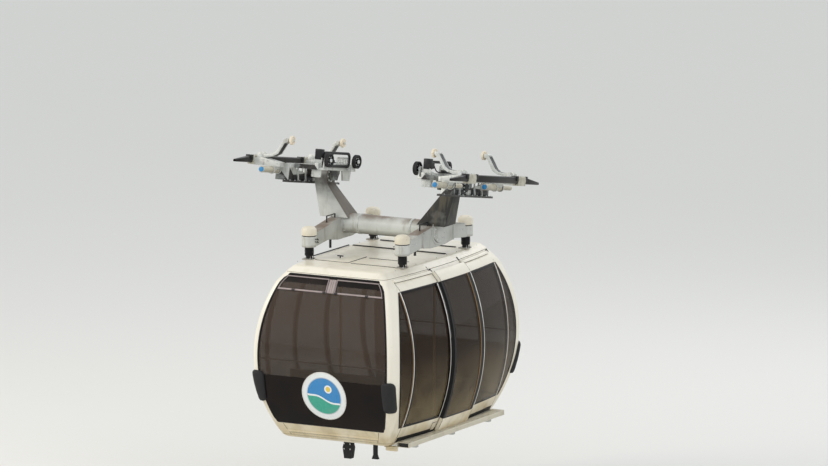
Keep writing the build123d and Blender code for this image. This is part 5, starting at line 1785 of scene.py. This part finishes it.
def build_springs():
    """Spring tubes with blue caps, pale rims, dark end rings and thinner rear housings."""
    caps, tubes, rears = (bmesh.new() for _ in range(3))
    length = 0.450
    tube = [(-0.002, 0.0), (-0.002, 0.041), (0.002, 0.045), (0.012, 0.045), (0.014, 0.042), (0.018, 0.0425),
            (length - 0.042, 0.0425), (length - 0.040, 0.045), (length - 0.004, 0.045), (length, 0.041),
            (length, 0.0)]
    ring = [(length - 0.034, 0.0), (length - 0.034, 0.0445), (length - 0.032, 0.0465),
            (length - 0.012, 0.0465), (length - 0.010, 0.0445), (length - 0.010, 0.0)]
    rear = [(length - 0.002, 0.0), (length - 0.002, 0.031), (length + 0.20, 0.031), (length + 0.204, 0.028),
            (length + 0.216, 0.028), (length + 0.220, 0.031), (length + 0.264, 0.031),
            (length + 0.270, 0.026), (length + 0.270, 0.0)]
    cap = [(-0.015, 0.0), (-0.015, 0.026), (-0.012, 0.033), (-0.001, 0.035), (0.004, 0.035), (0.004, 0.0)]
    for grip_y in GRIP_PLACES:
        start = (SPRING_X, grip_y - 0.355, SPRING_Z)
        add_lathe(tubes, tube, start, (0, 1, 0), 28)
        add_lathe(rears, ring, start, (0, 1, 0), 28)
        add_lathe(tubes, rear, start, (0, 1, 0), 24)
        add_lathe(caps, cap, start, (0, 1, 0), 24)
    both_carriages("spring_tubes", tubes, "tube_enamel", "springs")
    both_carriages("spring_caps", caps, "blue_cap")
    both_carriages("spring_rears", rears, "black_steel")


def build_levers():
    """Forked levers: two pale plates, a black web between them, tips, boss rings, pins and rollers."""
    cheek = [(98, 62), (150, 66), (310, 92), (384, 132), (468, 276), (520, 300), (528, 340), (492, 348),
             (456, 322), (352, 162), (300, 126), (215, 116), (110, 116)]
    web = [(180, 78), (318, 96), (382, 134), (474, 296), (456, 314), (350, 156), (296, 122), (215, 110)]
    tip = [(472, 272), (522, 296), (530, 340), (492, 348), (466, 334)]
    plates, webs, rollers, pins = (bmesh.new() for _ in range(4))
    spots = []
    boss = (SLEEVE_X - 0.120, SLEEVE_Z + 0.086)
    tip_x = SLEEVE_X - 0.535
    tip_z = SLEEVE_Z + 0.322
    tread = [(0.0, 0.0), (0.0, 0.024), (0.003, 0.027), (0.005, 0.048), (0.001, 0.052), (0.001, 0.056),
             (0.006, 0.0605), (0.016, 0.061), (0.018, 0.0595), (0.020, 0.061), (0.030, 0.0605),
             (0.035, 0.056), (0.035, 0.052), (0.031, 0.048), (0.033, 0.027), (0.036, 0.024), (0.036, 0.0)]
    for y in GRIP_PLACES:
        inner, outer = 0.046, 0.058
        add_prism(webs, from_sleeve(web), (0, 2), y - inner, y + inner)
        soft_tip = soft_corners(from_sleeve(tip), 0.006, 3)
        add_prism(plates, soft_tip, (0, 2), y - inner, y + inner, 0.002)
        for side in (-1, 1):
            y0, y1 = sorted((y + side * inner, y + side * outer))
            outline = soft_corners(from_sleeve(cheek), 0.008, 3)
            add_prism(plates, outline, (0, 2), y0, y1, 0.0025)
            add_prism(plates, circle(boss, 0.051, 28), (0, 2), y0 - (0.002 if side < 0 else 0.0),
                      y1 + (0.002 if side > 0 else 0.0), 0.0025)
            add_rod(pins, (boss[0], y, boss[1]), (boss[0], y + side * 0.0705, boss[1]), 0.024, 20, 0.003)
            edge = y + side * outer
            spots += [((SLEEVE_X - a, edge, SLEEVE_Z + b), (0, side, 0))
                      for a, b in ((0.235, 0.098), (0.300, 0.108), (0.362, 0.138), (0.400, 0.200),
                                   (0.436, 0.262))]
        add_rod(pins, (tip_x + 0.036, y, tip_z), (tip_x - 0.050, y, tip_z), 0.012, 16)
        add_rod(pins, (tip_x - 0.040, y, tip_z), (tip_x - 0.0495, y, tip_z), 0.020, 6, 0.002)
        add_rod(pins, (tip_x + 0.002, y, tip_z), (tip_x + 0.010, y, tip_z), 0.021, 20, 0.002)
        add_lathe(rollers, tread, (tip_x, y, tip_z), (-1, 0, 0), 40)
    both_carriages("lever_plates", plates, "silver_paint", "levers")
    both_carriages("lever_webs", webs, "black_steel")
    both_carriages("lever_pins", pins, "bright_steel")
    both_carriages("lever_roller_treads", rollers, "roller_plastic", "lever_rollers")
    carriage_screws("lever_bolts", spots, 0.006, "bright_steel")


def build_grips():
    """Clamp bands with pale faces, jaw bodies, their bolts, sleeves with dark collars, and saddle clips."""
    spots = []
    collars, clips = bmesh.new(), bmesh.new()

    def by_place(place):
        return 0 if abs(abs(place.x) - SLEEVE_X) < 0.053 else 1

    for side in ("right", "left"):
        rounded(f"{side}_grips", 0.003, ("band_enamel", "silver_paint"), 0.4, by_place)
        rounded(f"{side}_rope_sleeve", 0.003, "sleeve_steel", 0.7)
    spring = (SPRING_X, SPRING_Z)
    for y in GRIP_PLACES:
        for way in (-1, 1):
            y0, y1 = sorted((y + way * 0.101, y + way * 0.150))
            add_block(collars, (SLEEVE_X - 0.046, y0, SLEEVE_Z + 0.024),
                      (SLEEVE_X + 0.046, y1, SLEEVE_Z + 0.092), 0.004)
            add_prism(clips, circle(spring, 0.056, 32), (0, 2), y + way * 0.080 - 0.009,
                      y + way * 0.080 + 0.009, 0.003, [circle(spring, 0.0445, 32)])
            spots += [((SLEEVE_X - a, y + way * 0.0667, SLEEVE_Z + b), (0, way, 0))
                      for a, b in ((0.175, 0.040), (0.245, 0.030), (0.175, -0.012), (0.385, 0.000))]
        spots += [((SLEEVE_X + a, y + dy, SLEEVE_Z + 0.092), UP) for a in (-0.018, 0.018)
                  for dy in (-0.070, 0.0, 0.070)]
    both_carriages("sleeve_collars", collars, "black_steel")
    both_carriages("spring_clips", clips, "silver_paint")
    carriage_screws("grip_bolts", spots, 0.008, "bright_steel")


def by_grease_and_shade(place):
    """The frame is greasy and in painted shade low down and between its inner beam and its outer plate."""
    local = LEAN.inverted() @ Vector((abs(place.x), place.y, place.z))
    between = INNER_BEAM_X + 0.026 < local.x < OUTER_PLATE_X - 0.032
    cheek = abs(local.y) < 0.14 and local.z < 0.062
    return 1 if between or cheek or local.z < -0.012 else 0


def build_frames():
    """Carriage frames with stiffeners, tall side plates, slotted cover plates, guards and bolt rows."""
    for side in ("right", "left"):
        # The frames' dark steel is grease and painted shade on their lower part and in the recess.
        rounded(f"{side}_frame", 0.003, ("silver_paint", "greasy_shaded_steel"), 0.5, by_grease_and_shade)
        rounded(f"{side}_guard", 0.005, "black_steel")
    plates, dark = bmesh.new(), bmesh.new()
    outline = soft_corners([(0.756, -0.030), (0.898, -0.030), (0.898, 0.180), (0.850, 0.235), (0.756, 0.235)],
                           0.014, 3)
    add_prism(plates, outline, (0, 2), -0.462, -0.448, 0.003)
    add_block(plates, (0.890, -0.462, -0.028), (0.900, -0.405, 0.176), 0.003)
    add_block(dark, (0.765, -0.470, 0.205), (0.865, -0.380, 0.345), 0.010)
    add_block(dark, (0.780, -0.380, 0.215), (0.850, -0.300, 0.300), 0.008)
    starts = [-0.005 + 0.046 * k for k in range(7)]
    holes = [soft_corners(rectangle(start, start + 0.021, 0.166, 0.234), 0.008, 3) for start in starts]
    shadow_area = soft_corners(rectangle(-0.030, 0.325, 0.150, 0.252), 0.010, 3)
    add_prism(plates, shadow_area, (1, 2), 0.768, 0.775, 0.0015, holes)
    flange_x = OUTER_PLATE_X
    for y in (-0.40, -0.20, 0.22, 0.42):
        rib = [(flange_x + 0.012, -0.099), (flange_x + 0.050, -0.099), (flange_x + 0.030, 0.085),
               (flange_x + 0.012, 0.100)]
        add_prism(plates, rib, (0, 2), y - 0.005, y + 0.005, 0.002)
        rib = [(flange_x - 0.012, -0.099), (flange_x - 0.012, 0.100), (flange_x - 0.030, 0.085),
               (flange_x - 0.050, -0.099)]
        add_prism(plates, rib, (0, 2), y - 0.005, y + 0.005, 0.002)
    for radius, lift in ((0.075, 0.0), (0.060, 0.010)):
        x0 = flange_x + 0.012 + lift
        add_prism(dark, circle((0.0, 0.0), radius, 36), (1, 2), x0, x0 + 0.010, 0.003)
    add_block(plates, (flange_x - 0.019, 0.024, -0.098), (flange_x + 0.019, 0.146, -0.030), 0.004)
    both_carriages("frame_plates", plates, "silver_paint")
    hose = [(0.810, -0.360, 0.290), (0.830, -0.310, 0.280), (0.835, -0.200, 0.180), (0.840, 0.020, 0.172),
            (0.842, 0.300, 0.176)]
    add_tube(dark, hose, 0.008)
    add_block(dark, (0.842, -0.12, 0.162), (0.900, 0.06, 0.205), 0.006)
    # Dark bars along the outer plate's foot: painted shade of the frame's underside.
    add_block(dark, (flange_x - 0.022, -0.500, -0.098), (flange_x + 0.022, 0.020, -0.030), 0.004)
    add_block(dark, (flange_x - 0.022, 0.150, -0.098), (flange_x + 0.022, 0.600, -0.030), 0.004)
    both_carriages("frame_dark_parts", dark, "black_steel")
    spots = [((flange_x + way * 0.040, 0.025 + 0.13 * k, -0.099), UP) for way in (-1, 1) for k in range(-5, 6)
             if k]
    spots += bolt_ring(flange_x + 0.022, (0, 0), 0.066, 8, 1)
    spots += [((x, -0.462, z), (0, -1, 0)) for x in (0.775, 0.875) for z in (-0.010, 0.080, 0.170)]
    spots += [((0.825, -0.50 + 0.1 * k, 0.115), (1, 0, 0)) for k in range(10)]
    carriage_screws("frame_bolts", spots, 0.008, "bright_steel")


# Scene: camera, floor and light

AZIMUTH = math.radians(28.7)
ELEVATION = math.radians(9.8)
DISTANCE = 126.0
AIM_RIGHT = 0.35
AIM_BELOW = 0.80
LENS_MM = 415.0
SENSOR_MM = 36.0
FLOOR_DROP = 1.1
FLOOR_REACH = 400.0


def build_camera():
    """Long lens at the photograph's angle."""
    right = Vector((math.cos(AZIMUTH), math.sin(AZIMUTH), 0))
    back = Vector((math.sin(AZIMUTH) * math.cos(ELEVATION), -math.cos(AZIMUTH) * math.cos(ELEVATION),
                   math.sin(ELEVATION)))
    up = back.cross(right)
    aim = right * AIM_RIGHT - up * AIM_BELOW
    data = bpy.data.cameras.new("camera")
    data.lens = LENS_MM
    data.sensor_width = SENSOR_MM
    data.clip_end = 2000.0
    camera = bpy.data.objects.new("camera", data)
    camera.location = aim + back * DISTANCE
    camera.rotation_euler = back.to_track_quat("Z", "Y").to_euler()
    bpy.context.scene.collection.objects.link(camera)
    bpy.context.scene.camera = camera


def area_light(name, place, target, size, power, tint="#FFFFFF"):
    """A large soft light aimed at a point."""
    data = bpy.data.lights.new(name, "AREA")
    data.shape = "DISK"
    data.size = size
    data.energy = power
    data.color = colour(tint)[:3]
    lamp = bpy.data.objects.new(name, data)
    lamp.location = Vector(place)
    lamp.rotation_euler = (Vector(place) - Vector(target)).to_track_quat("Z", "Y").to_euler()
    bpy.context.scene.collection.objects.link(lamp)


def build_stage():
    """Pale floor well under the hanging cabin, soft lights and an even sky."""
    mesh = bpy.data.meshes.new("floor")
    corners = rectangle(-FLOOR_REACH, FLOOR_REACH, -FLOOR_REACH, FLOOR_REACH)
    mesh.from_pydata([(x, y, BOTTOM_Z - FLOOR_DROP) for x, y in corners], [], [(0, 1, 2, 3)])
    floor = bpy.data.objects.new("floor", mesh)
    shader = Shader("floor_finish", "#E4E3DF", 0.9)
    shader.lay("#D8D6D1", 0.10, shader.noise(2500))
    mesh.materials.append(shader.material)
    bpy.context.scene.collection.objects.link(floor)
    world = bpy.data.worlds.new("sky")
    world.use_nodes = True
    bpy.context.scene.world = world
    backdrop = world.node_tree.nodes["Background"]
    backdrop.inputs["Color"].default_value = colour("#E3E6E8")
    backdrop.inputs["Strength"].default_value = 1.04
    middle = (0.0, 0.0, -2.0)
    area_light("key", (-14.0, -11.0, 9.0), middle, 9.0, 1350.0, "#FFF6EA")
    area_light("fill", (13.0, -8.0, 3.0), middle, 9.0, 260.0, "#F2F6FF")
    area_light("back", (2.0, 13.0, 8.0), middle, 8.0, 400.0)
    bpy.context.scene.view_settings.view_transform = "Standard"


for build in (build_camera, build_stage, build_end_frames, build_end_glass, build_end_rails, build_vents,
              build_sides, build_wall_details, build_door, build_bumpers, build_roof, build_floor,
              build_roof_details, build_damper_feet, build_rim_screws, build_step, build_inside, build_disc,
              build_underside, build_dampers, build_hanger, build_wheels, build_springs, build_levers,
              build_grips, build_frames):
    build()

for name, node in frame["nodes"].items():
    node.data.materials.clear()
    node.data.materials.append(MATERIALS[SLOTS[name]])
